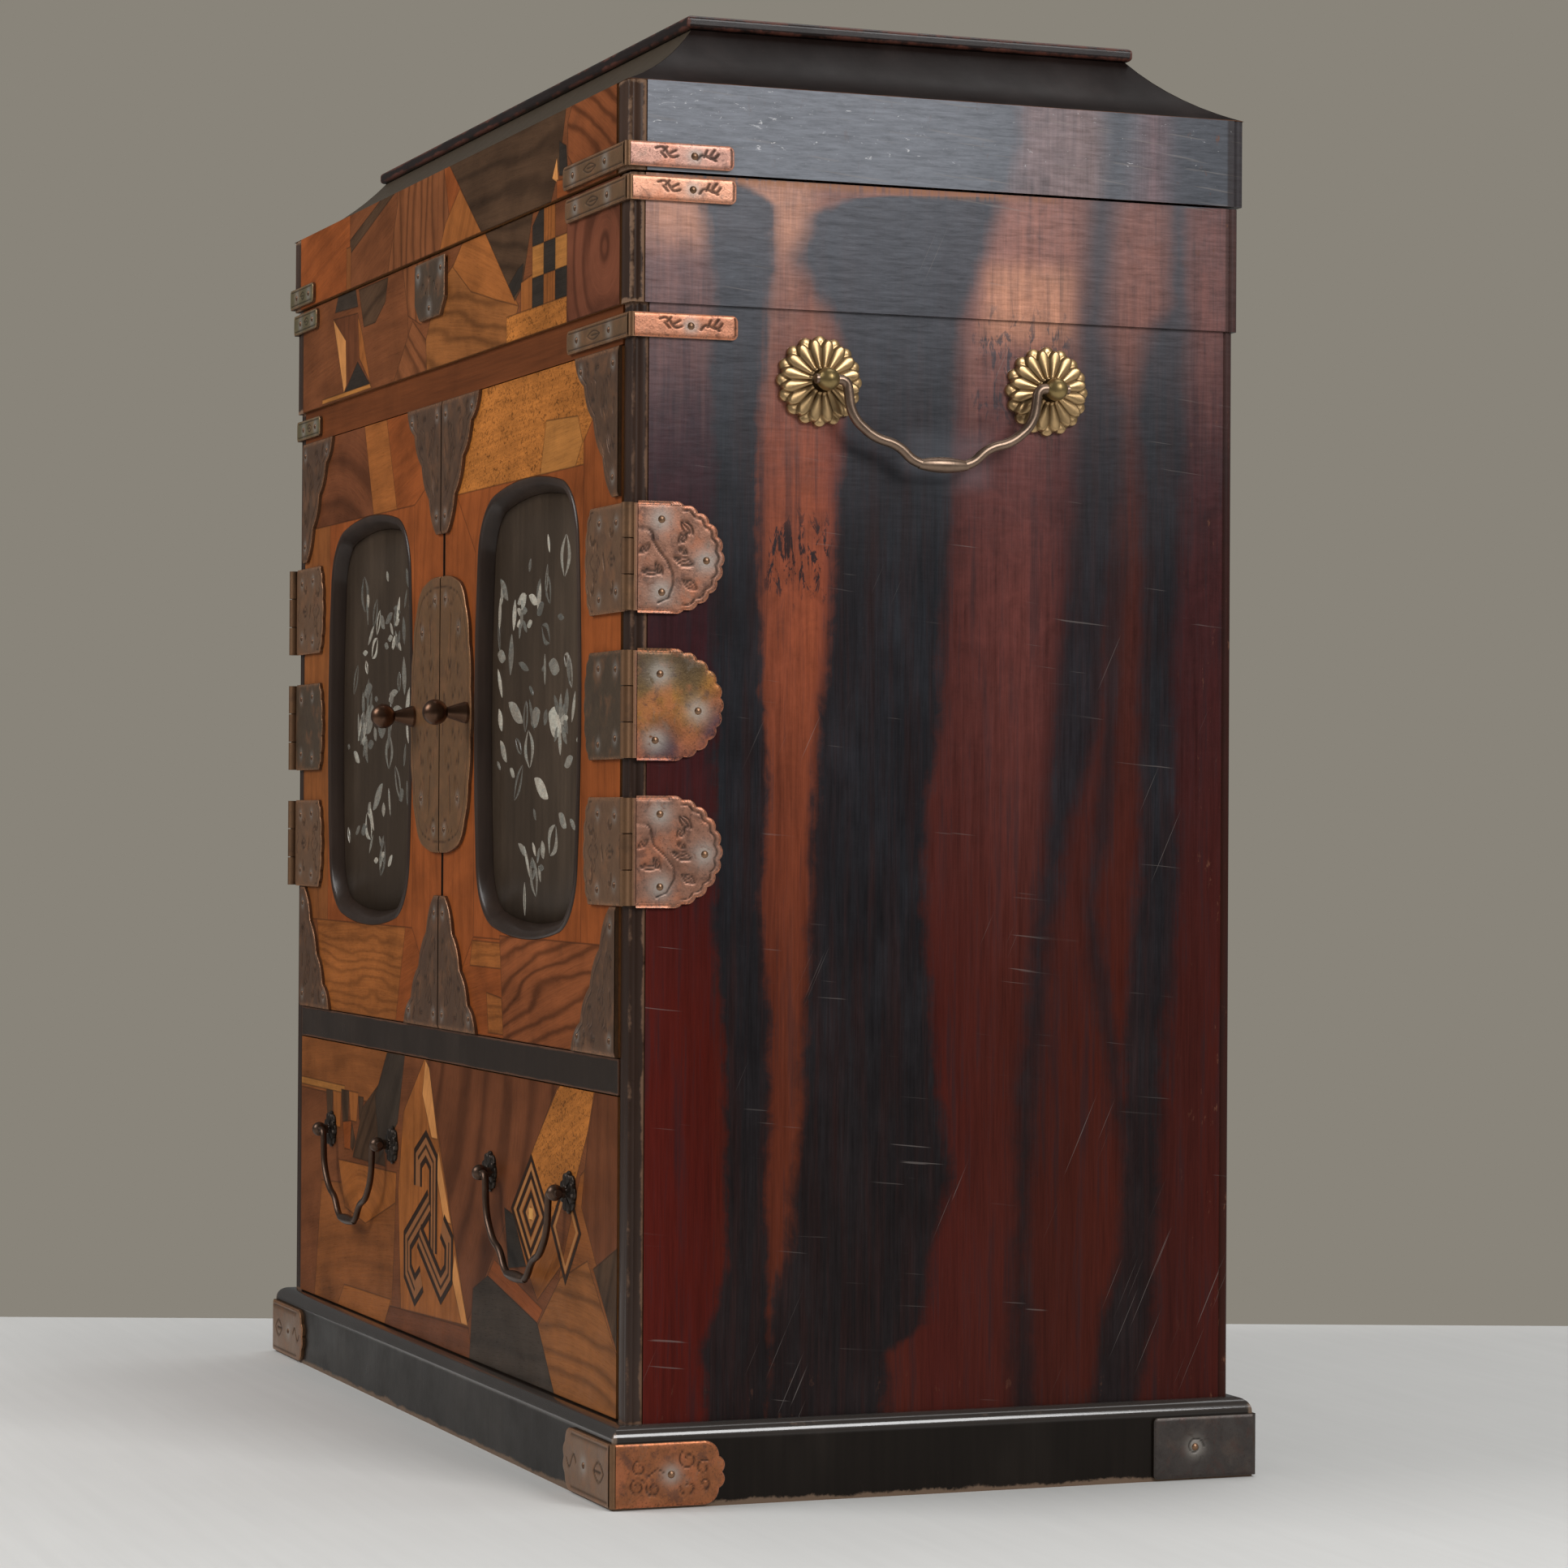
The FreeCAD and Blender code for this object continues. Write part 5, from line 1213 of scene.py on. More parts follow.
TILL_FIGURES = [
    ("russet", 4, [(-158, 335), (-36, 335), (-36, 302), (-158, 302)]),
    ("slate", 0, [(-119, 330), (-115, 335), (-95, 335), (-92, 329)]),
    ("cherry", 86, [(-121, 328), (-92, 327), (-78, 304), (-107, 304)]),
    ("pale", 110, [(-121, 328), (-106, 320), (-105, 306), (-108, 304)]),
    ("honey", 60, [(-92, 326), (-88, 322), (-77, 304), (-90, 313)]),
    ("ebony", 0, [(-92, 312), (-78, 304), (-107, 304)]),
    ("straw", 0, [(-134, 304), (-78, 304), (-76, 302.6), (-134, 302.6)]),
    ("umber", 20, [(-91, 334), (-58, 334), (-61, 327), (-72, 322), (-85, 322)]),
    ("stripe", 92, [(-42, 335), (-4, 335), (0, 328), (-22, 316), (-36, 320)]),
    ("stripe", 330, [(-31, 318), (-17, 311), (-15, 302), (-51, 302)]),
    ("grained", 353, [(-16, 302), (-17, 311), (-6, 324), (12, 330), (73, 311), (64, 302)]),
    ("honey", 345, [(10, 329), (20, 335), (41, 335), (73, 311), (52, 315), (28, 320)]),
    ("umber", 350, [(41, 335), (95, 335), (86, 325), (84, 320), (76, 316), (73, 310)]),
    ("ebony", 30, [(62, 319), (72, 321), (84, 326), (78, 317), (75, 316), (73, 310)]),
    ("honey", 90, [(75, 317), (85, 318), (85, 309), (75, 309)]),
    ("burl", 2, [(62, 309), (115, 309), (115, 302), (62, 302)]),
    ("ebony", 0, [(85, 331), (92, 335), (95, 335), (95, 325.5), (85, 325.5)]),
    ("ripple", 90, [(95, 335), (105, 335), (105, 325.5), (95, 325.5)]),
    ("cherry", 0, [(105, 335), (115, 335), (115, 325.5), (105, 325.5)]),
    ("straw", 0, [(85, 325.5), (95, 325.5), (95, 317), (85, 317)]),
    ("ebony", 0, [(95, 325.5), (105, 325.5), (105, 317), (95, 317)]),
    ("straw", 0, [(105, 325.5), (115, 325.5), (115, 317), (105, 317)]),
    ("ebony", 0, [(85, 317), (95, 317), (95, 309), (85, 309)]),
    ("ripple", 90, [(95, 317), (105, 317), (105, 309), (95, 309)]),
    ("ebony", 0, [(105, 317), (115, 317), (115, 309), (105, 309)]),
    ("figured", (146, 318), [(115, 335), (158, 335), (158, 302), (115, 302)]),
]


# Each front: its tiles, and the wood and grain of its ground
FRONTS = {
    "drawer_front": (DRAWER_FIGURES, ("russet", 3)),
    "till_front_board": (TILL_FIGURES, ("russet", 4)),
    "lid_front_board": (LID_FIGURES, ("russet", 8)),
    "right_door_frame": (DOOR_FIGURES["right"], ("ember", 90)),
    "left_door_frame": (DOOR_FIGURES["left"], ("ember", 90)),
}


class CHEST_OT_veneers(Step, bpy.types.Operator):
    """Veneers of the drawer, the doors, the till and the lid"""

    bl_idname = "chest.veneers"
    bl_label = "Veneers"

    def execute(self, context):
        joint, back = self.sizes.joint / MM, paint("6f4a2c")
        for node, (tiles, ground) in FRONTS.items():
            front = low_high(node)[0][1]
            # The drawer, lowest on the chest, gets painted shade: its woods a little darker than on the other
            # fronts
            painted_shade_level = 0.86 if node == "drawer_front" else 1.0
            seam_shadow = "door" in node
            dress(marquetry(node + "_veneer", front, tiles, ground, back, joint, painted_shade_level, seam_shadow), node)
        dress(sawn_wood("rail_wood", paint("633417"), 0, 0.5, 0.08), "top_rail")
        return {"FINISHED"}


def small_drawer_nodes(knobs):
    """Nodes of the four small drawers: their knobs, or all but their knobs."""
    return [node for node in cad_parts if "small_drawer" in node and ("knob" in node) == knobs]


class CHEST_OT_plain_woods(Step, bpy.types.Operator):
    """Boards and boxes that show when the chest is open"""

    bl_idname = "chest.plain_woods"
    bl_label = "Inner woods"

    def execute(self, context):
        dress(sawn_wood("box_wood", paint("a58459"), 1), "drawer_box", "casing_partition", "casing_shelves")
        dress(sawn_wood("board_wood", paint("8a6a45"), 0), "bottom_board", "till_floor_board")
        dress(sawn_wood("cheek_wood", paint("7c5434"), 2), "casing_cheeks")
        dress(sawn_wood("small_drawer_wood", paint("80502b"), 0, 0.48, 0.2), *small_drawer_nodes(False))
        return {"FINISHED"}


class CHEST_OT_metal_nodes(Step, bpy.types.Operator):
    """Finish of the metal parts that keep their own shape"""

    bl_idname = "chest.metal_nodes"
    bl_label = "Plain metalwork"

    def execute(self, context):
        sheet = sheet_metal("sheet_copper", self.colours["copper"], self.colours["tarnish"])
        dress(sheet, "body_and_till_straps", "lid_straps", "door_hinge_side_leaves", "till_lock_plate",
              "plinth_front_mounts", "hinge_pins", "lid_hinge_lower_leaves", "lid_hinge_upper_leaves")
        dress(sheet_metal("rear_bronze", paint("4a4440"), paint("453c34")), "plinth_rear_mounts")
        bronze = sheet_metal("door_bronze", paint("73543c"), paint("73543c"))
        knob = cast_metal("knob_bronze", paint("5c4232"), paint("1f1a17"), 0.3)
        for door, _ in DOORS:
            dress(bronze, door + "_mounts", door + "_hinge_leaves")
            dress(knob, door + "_knob")
        dress(cast_metal("gilt_brass", self.colours["brass"], paint("3d3020")), "side_bail_eyes")
        bail = cast_metal("bail_bronze", paint("857060"), paint("251c16"))
        dress(bail, "side_bail_left", "side_bail_right")
        handle = cast_metal("handle_bronze", paint("564337"), paint("1c1713"), 0.36)
        dress(handle, "drawer_handle_posts", "drawer_bail_left", "drawer_bail_right",
              *small_drawer_nodes(True))
        return {"FINISHED"}


# Places on a plate are (a, b) in millimetres from its corner; a leaf is its foot, its tip and its width

def tab_rows(length, height, rounding):
    """Root and end of a plate with rounded far corners, row by row up its height."""
    b = np.linspace(0.05, height - 0.05, 34)
    over = np.clip((np.abs(b - height / 2) - height / 2 + rounding) / rounding, 0.0, 1.0)
    end = length - rounding * (1 - np.sqrt(1 - over ** 2))
    return np.stack([np.full_like(b, 0.35), b], -1), np.stack([end - 0.05, b], -1)


def lobed_rows(knots, bulge, root):
    """Root and end of a plate whose end is a row of lobes."""
    edge = lobed(np.asarray(knots, float), bulge)
    return np.stack([np.full(len(edge), root), edge[:, 1]], -1), edge


def hinge_knots(end, depth, count, height):
    """Points between the lobes of a hinge leaf, on a half ellipse whose top is at its end."""
    angle = half_turn(count)
    return np.stack([end - depth * (1 - np.cos(angle)), height / 2 * (1 + np.sin(angle))], -1)


# Foot of each door hinge above the table, and the height of its leaves
HINGES = (150.5, 187.5, 224.5)
LEAF_HEIGHT = 27.0
# Each corner strap: its body, how far it stands out from the body, its foot, and its tone on the side
STRAPS = (("cabinet", 0.0, BODY_TOP - 8.7, "b3785c"), ("cabinet", 1.0, BODY_TOP + 25.5, "c08a70"),
          ("lid", 2.0, BODY_TOP + 33.8, "ac8172"))
STRAP_HEIGHT, STRAP_ROUNDING = 6.2, 1.6
MOUNT_FOOT, MOUNT_HEIGHT = 0.6, 16.0


def heated_tone(places):
    """Tone of a leaf that was heated: purple at its foot, golden in the middle and olive at its top."""
    stops = [paint(code) for code in ("51353a", "8a552f", "94662f", "6b5332", "574630")]
    a, b = places.T
    share = b / LEAF_HEIGHT + np.sin(a * 0.5) * 0.08 - np.maximum(a - 17, 0) * 0.04
    return np.stack([np.interp(share, np.linspace(0.05, 0.95, 5), part) for part in zip(*stops)], -1)


def curl(middle, radius, start, turns=1.2):
    """Spiral line that winds in to a third of its radius."""
    t = np.linspace(0.0, 1.0, 40)
    angle, reach = start + TURN * turns * t, radius * (1 - 0.67 * t)
    return stroke(np.asarray(middle) + np.stack([reach * np.cos(angle), reach * np.sin(angle)], -1))


def inset(edge, share, middle):
    """Outline drawn in towards a middle."""
    return np.asarray(middle) + (edge - np.asarray(middle)) * share


def leaves(*rows):
    """Outlines and ribs of several leaves."""
    return np.concatenate([leaf_lines(*row) for row in rows])


def curls(*rows):
    """Several spirals, each a middle, radius, start and number of turns."""
    return np.concatenate([curl(*row) for row in rows])


def strokes(*lines):
    """Points along several lines."""
    return np.concatenate([stroke(line) for line in lines])


def mount_rows(length):
    """Root and lobed end of a corner mount of the plinth."""
    b = np.linspace(0.0, MOUNT_HEIGHT, 5)
    a = length + np.array([0.0, 3.8, 4.6, 3.8, 0.0])
    return lobed_rows(np.stack([a, b], -1), 1.1, 0.35)


def nail_piece(name, nails, material, body, sizes, share, tone):
    """Domed nail heads as one piece. The share is that of the full radius."""
    heads = Gathering()
    dome_nails(heads, nails, sizes.nail_radius / MM * share, sizes.nail_height / MM, tone)
    heads.finish(name, material, body, "copper")


def leaf_engraving(edge, sway):
    """Border and leafy twig on a side hinge leaf; the sway bends the twig's middle."""
    twig = [(0.5, 20.6), (4.4, 20.5), (5.4, 19.3), (5.6, 17.4), (7.0 - sway, 15.2), (9.2, 12.6),
            (10.7 + sway, 9.6), (10.9 + sway, 6.8), (9.6, 3.2), (7.0, 2.2)]
    return np.vstack([
        strokes(inset(edge[8:-8], 0.9, (8.0, LEAF_HEIGHT / 2)), twig),
        leaves(((13.0, 22.6), (16.2, 19.4), 2.2), ((14.4, 19.6), (12.4, 17.2), 1.6),
               ((11.2, 13.4), (16.2, 11.8), 2.0), ((12.4, 15.8), (14.6, 14.6), 1.2),
               ((2.6, 9.8), (7.8, 10.0), 1.8), ((6.2, 12.0), (8.0, 9.2), 1.4),
               ((13.6, 8.0), (17.2, 5.6), 2.0), ((2.0, 14.6), (4.6, 16.4), 1.4))])


def side_leaves(plates, way, groove, copper):
    """Hinge leaves on a side; the middle one has no engraving and was coloured by heat."""
    rows = lobed_rows(hinge_knots(24.0, 13.92, 11, LEAF_HEIGHT), 0.9, 1.6)
    for index, low in enumerate(HINGES):
        nails, lines, tone = [(7.6, 21.2), (17.8, 12.0), (6.4, 4.5)], None, heated_tone
        if index != 1:
            nails, tone = [(7.8, 23.0), (19.8, 12.9), (7.9, 4.7)], copper
            lines = leaf_engraving(rows[1], 0.0 if index else 0.8)
        place = on_side(SIDE_X + SHEET, FRONT_Y, low, way)
        chased_plate(plates, place, rows, tone, lines, nails, 84, groove * 0.8, halo=3.0)


def side_straps(groups, way, groove):
    """Straps on a side, with two scrolls, twigs and a border."""
    rows = tab_rows(28.0, STRAP_HEIGHT, STRAP_ROUNDING)
    lines = np.vstack([
        scroll((7.0, 4.6), (12.8, 2.9), 0.8), scroll((18.0, 2.2), (23.6, 3.9), 0.8),
        strokes([(9.0, 3.9), (9.9, 5.0)], [(10.6, 3.4), (12.3, 4.3)], [(8.4, 3.6), (9.6, 2.4)],
                [(19.8, 3.0), (20.6, 4.7)], [(21.3, 3.3), (22.9, 2.2)], [(21.6, 3.6), (22.6, 4.9)],
                inset(rows[1][4:-4], 0.965, (12.0, STRAP_HEIGHT / 2)))])
    for body, overhang, low, tone in STRAPS:
        place = on_side(SIDE_X + overhang + SHEET, FRONT_Y - overhang, low, way)
        nails = [(15.3 + overhang, STRAP_HEIGHT / 2)]
        chased_plate(groups[body], place, rows, paint(tone), lines, nails, 110, groove * 0.85, halo=2.0)


def side_mounts(front, rear, way, groove):
    """Mounts on a side of the plinth: a lobed one with curls in front, and a plain one with a ring behind."""
    lines = np.vstack([
        curls(((19.5, 11.6), 2.6, 2.0, 1.1), ((23.6, 9.4), 2.0, 1.0, 1.0), ((19.5, 4.6), 2.2, 3.0, 0.9),
              ((23.8, 5.4), 1.7, 4.4, 0.8), ((6.0, 5.2), 2.2, 0.6, 1.3), ((10.2, 4.6), 1.9, 2.6, 1.2),
              ((6.6, 9.8), 2.0, 1.8, 1.0)),
        stroke([(8.8, 7.8), (11.4, 9.6), (13.0, 8.6)])])
    place = on_side(PLINTH_X + SHEET, PLINTH_Y, MOUNT_FOOT, way)
    chased_plate(front, place, mount_rows(24.0), paint("8a5433"), lines, [(15.0, 8.0)], 110, groove * 0.8)
    place = on_side(PLINTH_X + SHEET, -PLINTH_Y, MOUNT_FOOT, way)
    rows = [row * (-1.0, 1.0) for row in tab_rows(29.0, MOUNT_HEIGHT, 1.2)]
    ring = curl((-17.2, 8.1), 2.6, 0.0, 0.98)
    chased_plate(rear, place, rows, paint("413b38"), ring, [(-17.2, 8.1)], 90, groove, shine=0.1)


class CHEST_OT_side_metalwork(Step, bpy.types.Operator):
    """Chased hinge leaves, straps and mounts on the two sides"""

    bl_idname = "chest.side_metalwork"
    bl_label = "Side metalwork"

    def execute(self, context):
        colours, groove = self.colours, self.sizes.groove / MM
        copper = chased_metal("chased_copper", paint("b86c47"), paint("6e6459"))
        cabinet, lid, rear = Gathering(), Gathering(), Gathering()
        for way in (1.0, -1.0):
            side_leaves(cabinet, way, groove, colours["copper"])
            side_straps({"cabinet": cabinet, "lid": lid}, way, groove)
            side_mounts(cabinet, rear, way, groove)
        aged = chased_metal("rear_chasing", paint("5a4c43"), paint("4a4745"), 0.8)
        rear.finish("rear_mount_chasing", aged, "cabinet", "copper")
        cabinet.finish("side_chasing", copper, "cabinet", "copper")
        lid.finish("lid_side_chasing", copper, "lid", "copper")
        studs = cast_metal("nail_metal", paint("8a6a52"), paint("2b211b"), 0.36)
        for body, name, nails in (("cabinet", "side_nails", cabinet.nails + rear.nails),
                                  ("lid", "lid_side_nails", lid.nails)):
            nail_piece(name, nails, studs, body, self.sizes, 1.0, colours["tarnish"])
        return {"FINISHED"}


def door_leaves(plates, way, groove):
    """Hinge leaves on a door; the middle one is plain."""
    rows = lobed_rows(hinge_knots(33.0, 5.0, 7, LEAF_HEIGHT), 0.9, 1.6)
    nails = [(8.0, 5.0), (8.0, 22.5), (21.5, 3.6), (21.5, 23.0)]
    slots = np.vstack([
        curls(((28.0, 6.5), 2.6, 2.2, 0.4), ((28.0, 20.0), 2.6, 3.6, 0.4), ((12.5, 6.0), 2.0, 2.4, 0.4),
              ((12.5, 21.0), 2.0, 3.6, 0.4)),
        stroke([(17.4, 11.6), (18.6, 14.6)])])
    lines = np.vstack([
        stroke(inset(rows[1], 0.93, (10.0, LEAF_HEIGHT / 2))), scroll((4.0, 10.5), (4.0, 17.0), 1.2),
        leaves(((21.0, 13.2), (29.5, 13.2), 4.6), ((9.0, 13.4), (15.0, 13.4), 3.0)),
        curls(((24.5, 9.4), 1.8, 0.0), ((24.5, 17.6), 1.8, 3.0))])
    for index, low in enumerate(HINGES):
        place = on_front(way * SIDE_X, FRONT_Y - SHEET, low, -way)
        tone, cut, pierced = ("5d4c3b", None, None) if index == 1 else ("836249", lines, slots)
        chased_plate(plates, place, rows, paint(tone), cut, nails, 100, groove * 0.9, pierced, halo=1.6)


def corner_mounts(plates, way, groove, ends):
    """Pierced mounts in the four corners of a door that reaches between two heights."""
    share = np.linspace(0.0, 1.0, 5)
    rows = lobed_rows(np.stack([36.0 - 31.0 * share, 38.0 * share ** 1.15], -1), 1.4, 0.15)
    nails = [(4.0, 33.0), (30.0, 4.0), (4.0, 4.0)]
    lines = np.vstack([
        stroke(inset(rows[1], 0.9, (3.0, 3.0))),
        leaves(((6.0, 6.5), (14.0, 15.0), 4.6), ((8.6, 19.0), (6.0, 27.0), 2.6)),
        curls(((20.0, 9.0), 3.4, 0.8, 1.3), ((11.5, 15.5), 2.6, 2.4))])
    slots = np.vstack([
        strokes([(16.0, 3.4), (18.5, 4.4)], [(3.4, 13.0), (4.0, 16.0)]),
        curls(((25.5, 3.6), 1.8, 2.0, 0.45), ((3.8, 23.5), 1.6, 1.0, 0.45))])
    for x, flip in ((0.3, 1.0), (157.7, -1.0)):
        for z, rise in zip(ends, (1.0, -1.0)):
            place = on_front(way * x, FRONT_Y - SHEET, z, way * flip, rise)
            chased_plate(plates, place, rows, paint("6c4f3b"), lines, nails, 76, groove * 0.9,
                         slots, halo=1.6)


def lock_half(plates, way, groove, middle):
    """Half of the scalloped lock plate, mirrored below its middle but for some of its curls and slots."""
    angle = half_turn(9)
    rows = lobed_rows(np.stack([(30.1 - 0.3) * np.cos(angle) ** 0.45, 39.5 * np.sin(angle)], -1), 0.9, 0.12)
    nails = [(5.0, 33.0), (5.0, -33.0), (18.0, 24.0), (18.0, -24.0)]
    slots = np.vstack([
        strokes([(9.5, 18.0), (10.5, 27.5)], [(9.5, -18.0), (10.5, -27.5)], [(2.4, -6.0), (2.4, 2.0)]),
        curls(((18.0, 12.0), 2.4, 1.0, 0.4), ((18.0, -12.0), 2.4, 4.0, 0.4), ((4.6, 4.0), 1.6, 1.8, 0.6))])
    lines = [stroke(inset(rows[1], 0.92, (0.0, 0.0))),
             curls(((9.0, 12.0), 3.6, 0.6, 1.3), ((9.0, -12.0), 3.6, 2.6, 1.3))]
    for up in (1.0, -1.0):
        lines.append(leaf_lines((15.0, 17.0 * up), (20.0, 27.0 * up), 3.6))
        lines.append(leaf_lines((12.0, 5.0 * up), (22.0, 7.0 * up), 3.0))
        lines.append(scroll((3.5, 31.0 * up), (13.0, 33.0 * up), 1.4))
    place = on_front(way * 0.3, FRONT_Y - SHEET, middle, way)
    chased_plate(plates, place, rows, paint("85603f"), np.vstack(lines), nails, 84, groove * 0.9,
                 slots, halo=1.6)


def front_straps(groups, way, groove):
    """Straps on one end of the front, longer at the right."""
    leg, tone = (50.0, "826244") if way > 0 else (28.0, "766b4c")
    middle = STRAP_HEIGHT / 2
    lines = np.vstack([strokes([(1.5, 0.9), (leg - 1.8, 0.9)], [(1.5, 5.3), (leg - 1.8, 5.3)]),
                       leaf_lines((leg * 0.45, middle), (leg * 0.65, middle), 2.2)])
    nails = [(leg * 0.3, middle), (leg * 0.82, middle)]
    for body, overhang, low, _ in STRAPS:
        place = on_front(way * (SIDE_X + overhang), FRONT_Y - overhang - SHEET, low, -way)
        rows = tab_rows(leg, STRAP_HEIGHT, STRAP_ROUNDING)
        chased_plate(groups[body], place, rows, paint(tone), lines, nails, 120, groove * 0.8)


def front_mount(plates, way, groove, tone):
    """Lobed mount on the front of the plinth."""
    lines = np.vstack([strokes([(1.5, 1.4), (30.0, 1.4)], [(1.5, 14.6), (30.0, 14.6)]),
                       scroll((26.0, 8.0), (33.5, 8.0), 1.8), leaf_lines((12.0, 8.0), (4.0, 8.0), 5.0)])
    place = on_front(way * PLINTH_X, PLINTH_Y - SHEET, MOUNT_FOOT, -way)
    chased_plate(plates, place, mount_rows(32.0), tone, lines, [(20.0, 8.0)], 110, groove)


def till_lock(plates, groove):
    """Small lock plate of the till, 30 mm wide and 17 mm high, with cut lower corners and a keyhole."""
    b = np.linspace(0.05, 16.95, 60)
    clip = np.clip(5.0 - b, 0.0, 5.0)
    rows = np.stack([clip + 0.05, b], -1), np.stack([29.95 - clip, b], -1)
    slots = strokes([(15.0, 7.0), (15.0, 11.5)], [(14.6, 11.5), (15.4, 11.5)])
    lines = np.vstack([scroll((7.0, 9.0), (12.0, 9.0), 1.5), scroll((18.0, 9.0), (23.0, 9.0), 1.5)])
    nails = [(3.5, 13.5), (26.5, 13.5), (15.0, 3.0)]
    place = on_front(*low_high("till_lock_plate")[0])
    chased_plate(plates, place, rows, paint("5f4c3b"), lines, nails, 90, groove, slots)


class CHEST_OT_front_metalwork(Step, bpy.types.Operator):
    """Chased mounts, hinge leaves, straps and lock plates on the front"""

    bl_idname = "chest.front_metalwork"
    bl_label = "Front metalwork"

    def execute(self, context):
        colours, groove = self.colours, self.sizes.groove / MM
        finish = chased_metal("chased_bronze", paint("9a6a48"), paint("735a45"), 0.45)
        studs = cast_metal("front_nail_metal", paint("6b4f3c"), paint("2a211b"), 0.42)
        groups = {name: Gathering() for name in ("cabinet", "lid", "right_door", "left_door")}
        ends = [corner[2] for corner in low_high("right_door_frame")]
        for side, way in DOORS:
            door_leaves(groups[side], way, groove)
            corner_mounts(groups[side], way, groove, ends)
            lock_half(groups[side], way, groove, sum(ends) / 2)
            front_straps(groups, way, groove)
            front_mount(groups["cabinet"], way, groove, colours["tarnish"])
        till_lock(groups["cabinet"], groove)
        for body, plates in groups.items():
            plates.finish(body + "_front_chasing", finish, body, "copper")
            nail_piece(body + "_front_nails", plates.nails, studs, body, self.sizes, 0.9, colours["tarnish"])
        return {"FINISHED"}


class CHEST_OT_rosettes(Step, bpy.types.Operator):
    """Double chrysanthemums that carry the side bails, and the drawer handles' seats"""

    bl_idname = "chest.rosettes"
    bl_label = "Rosettes"

    def execute(self, context):
        flowers, seats = Gathering(), Gathering()
        low, high = low_high("side_rosettes")
        radius, middle = (high[2] - low[2]) / 2, (high[2] + low[2]) / 2
        for way in (1.0, -1.0):
            for y in (low[1] + radius, high[1] - radius):
                rosette(flowers, on_side(SIDE_X, y, middle, way), radius, 16, 3.1, self.colours["brass"])
        gilt = cast_metal("rosette_brass", paint("b09269"), paint("2e2216"), 0.32)
        piece = flowers.finish("chrysanthemums", gilt, "cabinet", "gilt_brass")
        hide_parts("side_rosettes")
        (left, _, low_z), (right, _, high_z) = low_high("drawer_handle_posts")
        front = low_high("drawer_front")[0][1]
        first, last = low_high("drawer_bail_right")
        span = last[0] - first[0]
        for x in (left, left + span, right - span, right):
            inner = math.copysign(1.9, -x if abs(x) > 100 else x)
            rosette(seats, on_front(x + inner, front, (low_z + high_z) / 2), 5.6, 8, 1.5, paint("3a3029"))
        iron = cast_metal("seat_iron", paint("38302a"), paint("15110e"), 0.38)
        seats.finish("handle_seats", iron, "long_drawer", "dark_metal")
        return {"FINISHED"}


def inlay(name):
    """Veneer strips: their tone is an attribute, with fine fibres over it."""
    finish = Finish(name, roughness=0.42, specular=0.05)
    where = finish.place()[0]
    tone = finish.attribute("tone")[3]
    fibre = finish.noise(where, (1.6, 1.0, 0.25), 4.0, 0.65)
    grime = finish.noise(where, 0.15, 4.0, 0.65)
    tone = finish.shade(tone, fibre * 0.8 + grime * 0.5 + 0.35)
    finish.bump(fibre, 0.2, 0.1)
    return finish.set(Base_Color=tone, Roughness=grime * 0.2 + 0.3)


# The key fret's middle and one of its three arms; each diamond's middle, half width, half height and rings
FRET_MIDDLE = np.array([-13.0, 53.0])
FRET_ARM = np.array([(6, -6), (6, 20), (-1.8, 24.2), (-9.9, 20), (-9.9, 12)], float)
DIAMONDS = (((86.0, 66.5), 16.8, 15.0, (1.0, 0.7, 0.36)), ((116.0, 65.0), 12.0, 13.5, (1.0,)))


class CHEST_OT_frets(Step, bpy.types.Operator):
    """Key fret and diamonds inlaid in the long drawer"""

    bl_idname = "chest.frets"
    bl_label = "Drawer inlay"

    def execute(self, context):
        place = on_front(0.0, low_high("drawer_front")[0][1], 0.0)
        dark, light = Gathering(), Gathering()
        for index in range(3):
            turn, lift = TURN * index / 3, 0.02 * index
            spin = np.array([[math.cos(turn), math.sin(turn)], [-math.sin(turn), math.cos(turn)]])
            line = FRET_MIDDLE + FRET_ARM @ spin
            ribbon(dark, place, line, 4.2, 0.03 + lift, paint("2c1d14"))
            ribbon(light, place, line, 2.3, 0.035 + lift, paint("7f5231"))
            ribbon(dark, place, line[:-1], 0.55, 0.04 + lift, paint("3a2618"))
        for middle, wide, tall, shares in DIAMONDS:
            for share in shares:
                line = np.array([(wide, 0), (0, tall), (-wide, 0), (0, -tall)]) * share
                core = line * (1 - 2.6 / (wide * share))
                ribbon(dark, place, line + middle, 0.8, 0.04, paint("2c1d14"), True)
                ribbon(light, place, core + middle, 0.7, 0.035, paint("94643a"), True)
        ribbon(light, place, [(84.2, 66.5), (87.8, 66.5)], 1.5, 0.04, paint("bd8a4c"))
        dark.finish("fret_lines", inlay("fret_line_wood"), "long_drawer", "marquetry", False)
        light.finish("fret_cores", inlay("fret_core_wood"), "long_drawer", "marquetry", False)
        return {"FINISHED"}


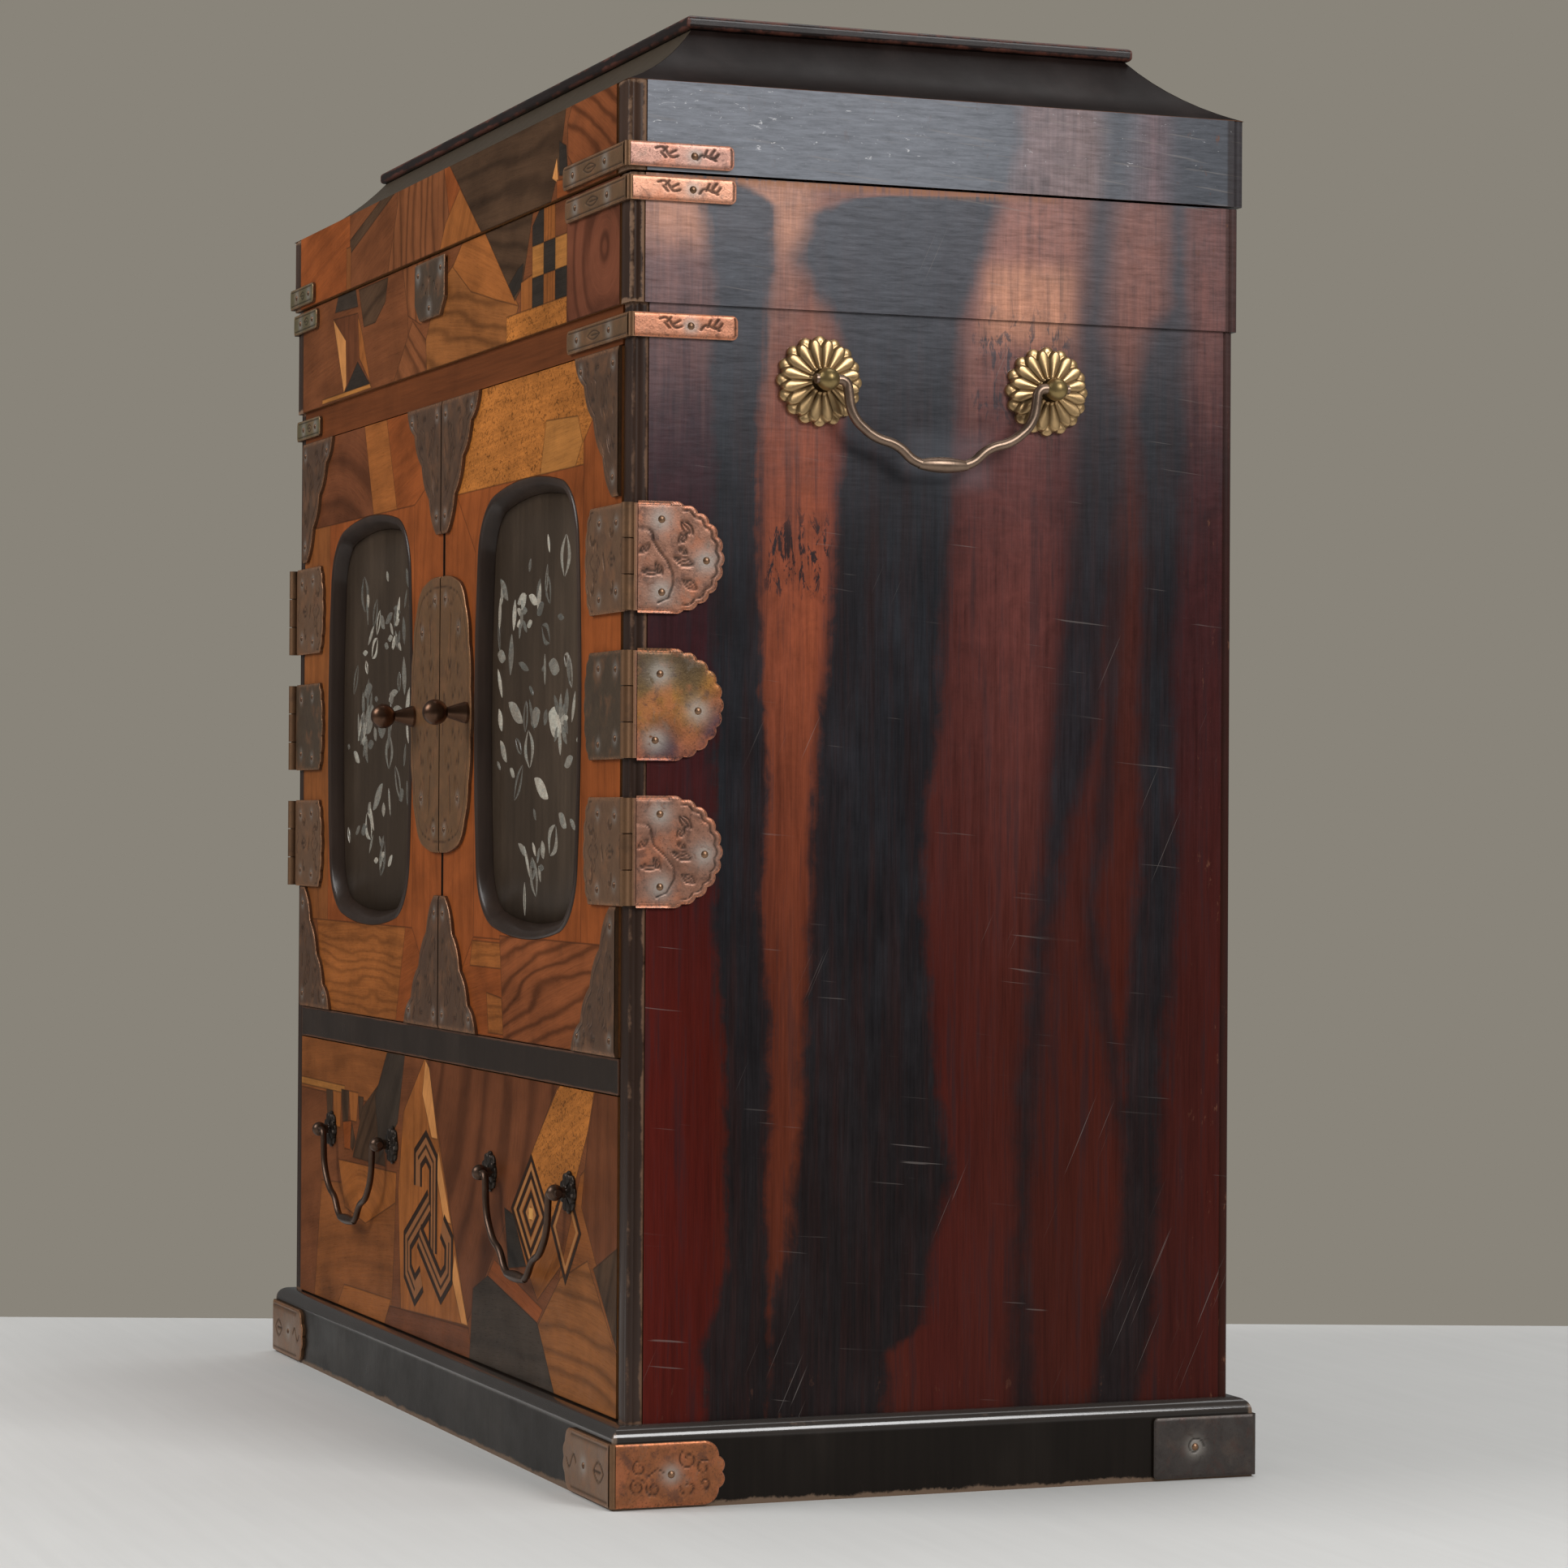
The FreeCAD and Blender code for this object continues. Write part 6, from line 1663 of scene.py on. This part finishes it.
# Each piece of shell: place, length, width, slope in degrees, and whether it is an open ring
PEARL_PIECES = (
    (47, 236, 10, 4, 130, 0), (55, 228, 9, 4, 80, 0), (62, 232, 8, 3, 20, 0), (63, 226, 6, 3, 100, 0),
    (70, 224, 5, 2.4, 20, 0), (73, 231, 9, 3, 160, 0), (80, 229, 7, 4, 30, 0), (87, 233, 10, 5, 105, 1),
    (101, 242, 12, 9, 80, 1), (45, 216, 8, 4, 170, 0), (53, 218, 12, 5, 95, 0), (84, 221, 9, 6, 140, 1),
    (91, 212, 10, 5, 160, 0), (71, 208, 5, 2, 160, 0), (106, 212, 11, 4.4, 120, 1), (59, 201, 15, 5, 165, 0),
    (77, 200, 9, 6, 10, 0), (84, 199, 5, 4, 60, 0), (93, 199, 13, 9, 150, 0), (102, 204, 8, 4, 85, 0),
    (103, 197, 7, 3.4, 120, 0), (108, 201, 9, 2.6, 80, 0), (104, 188, 8, 3.4, 15, 0), (70, 192, 11, 9, 95, 1),
    (46, 190, 9, 4, 140, 0), (60, 181, 13, 5, 60, 1), (81, 181, 14, 5, 155, 0), (92, 167, 10, 9, 60, 1),
    (101, 172, 8, 4, 160, 0), (108, 171, 6, 2.4, 155, 0), (76, 157, 12, 7, 115, 1), (84, 212, 4, 2, 10, 0),
    (66, 213, 10, 2.4, 175, 0), (71, 242, 4, 2.6, 60, 0), (98, 225, 6, 2, 170, 0), (113, 192, 3, 2, 0, 0),
)
# Each little flower: place, length of a petal and number of petals
PEARL_FLOWERS = ((97, 198, 7.5, 8), (63, 228, 5.5, 7), (78, 160, 5.0, 6))


def flower_pieces():
    """Petals of the flowers, as pieces of shell that point away from their middle."""
    return [(x + 0.62 * size * math.cos(turn), z + 0.62 * size * math.sin(turn), size, size * 0.42,
             math.degrees(turn), 0)
            for x, z, size, petals in PEARL_FLOWERS for turn in np.arange(petals) / petals * TURN]


class CHEST_OT_pearl(Step, bpy.types.Operator):
    """Mother-of-pearl sprays on the two door panels"""

    bl_idname = "chest.pearl"
    bl_label = "Pearl sprays"

    def execute(self, context):
        finish = shell("pearl_shell", self.colours["pearl"])
        for (body, way), seed, strays, shift in zip(DOORS, (7, 11), (22, 34), (1, 3)):
            spray = Gathering()
            place = on_front(0.0, PANEL_FACE, 0.0, way)
            noise = np.random.default_rng(seed)
            stray = noise.uniform((42, 150, 4, 1.6, 60, 0), (112, 246, 11, 4.5, 150, 1.3), (strays, 6))
            for x, z, length, width, lean, ring in (*PEARL_PIECES, *flower_pieces(), *stray):
                middle = np.array([x, z]) + noise.uniform(-1.2, 1.2, 2) * shift
                lean = math.radians(lean + noise.uniform(-12, 12))
                out = np.array([math.cos(lean), math.sin(lean)]) * length / 2
                glow = 0.22 + 0.78 * noise.uniform() ** 2.2
                petals = ((width * 0.32, width * 0.36, 0.22), (width * 0.32, width * -0.36, 0.22))
                for wide, bow, rise in petals if ring >= 1 else ((width, 0.0, 0.3),):
                    leaf_shell(spray, place, middle - out, middle + out, wide, bow, rise, glow)
            spray.finish(body + "_pearl", finish, body, "black_lacquer")
        return {"FINISHED"}


class CHEST_PT_panel(bpy.types.Panel):
    """Steps that dress the chest"""

    bl_idname = "CHEST_PT_panel"
    bl_label = "Chest"
    bl_space_type = "VIEW_3D"
    bl_region_type = "UI"
    bl_category = "Chest"

    def draw(self, context):
        layout = self.layout
        for step in STEPS:
            layout.operator(step.bl_idname)
        for group in (context.scene.chest_sizes, context.scene.chest_colours):
            for name in type(group).__annotations__:
                layout.prop(group, name)


# Steps in the order in which they run
STEPS = (CHEST_OT_stage, CHEST_OT_side_lacquer, CHEST_OT_black_lacquer, CHEST_OT_veneers,
         CHEST_OT_plain_woods, CHEST_OT_metal_nodes, CHEST_OT_side_metalwork, CHEST_OT_front_metalwork,
         CHEST_OT_rosettes, CHEST_OT_frets, CHEST_OT_pearl)
CLASSES = (ChestColours, ChestSizes, *STEPS, CHEST_PT_panel)


def register():
    """Adds the steps, the panel and their settings to Blender."""
    for kind in CLASSES:
        bpy.utils.register_class(kind)
    bpy.types.Scene.chest_colours = bpy.props.PointerProperty(type=ChestColours)
    bpy.types.Scene.chest_sizes = bpy.props.PointerProperty(type=ChestSizes)


def unregister():
    """Takes them out again."""
    del bpy.types.Scene.chest_sizes
    del bpy.types.Scene.chest_colours
    for kind in reversed(CLASSES):
        bpy.utils.unregister_class(kind)


def main():
    """Dresses the chest step by step."""
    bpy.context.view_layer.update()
    register()
    for step in STEPS:
        group, name = step.bl_idname.split(".")
        getattr(getattr(bpy.ops, group), name)()


if __name__ == "__main__":
    main()
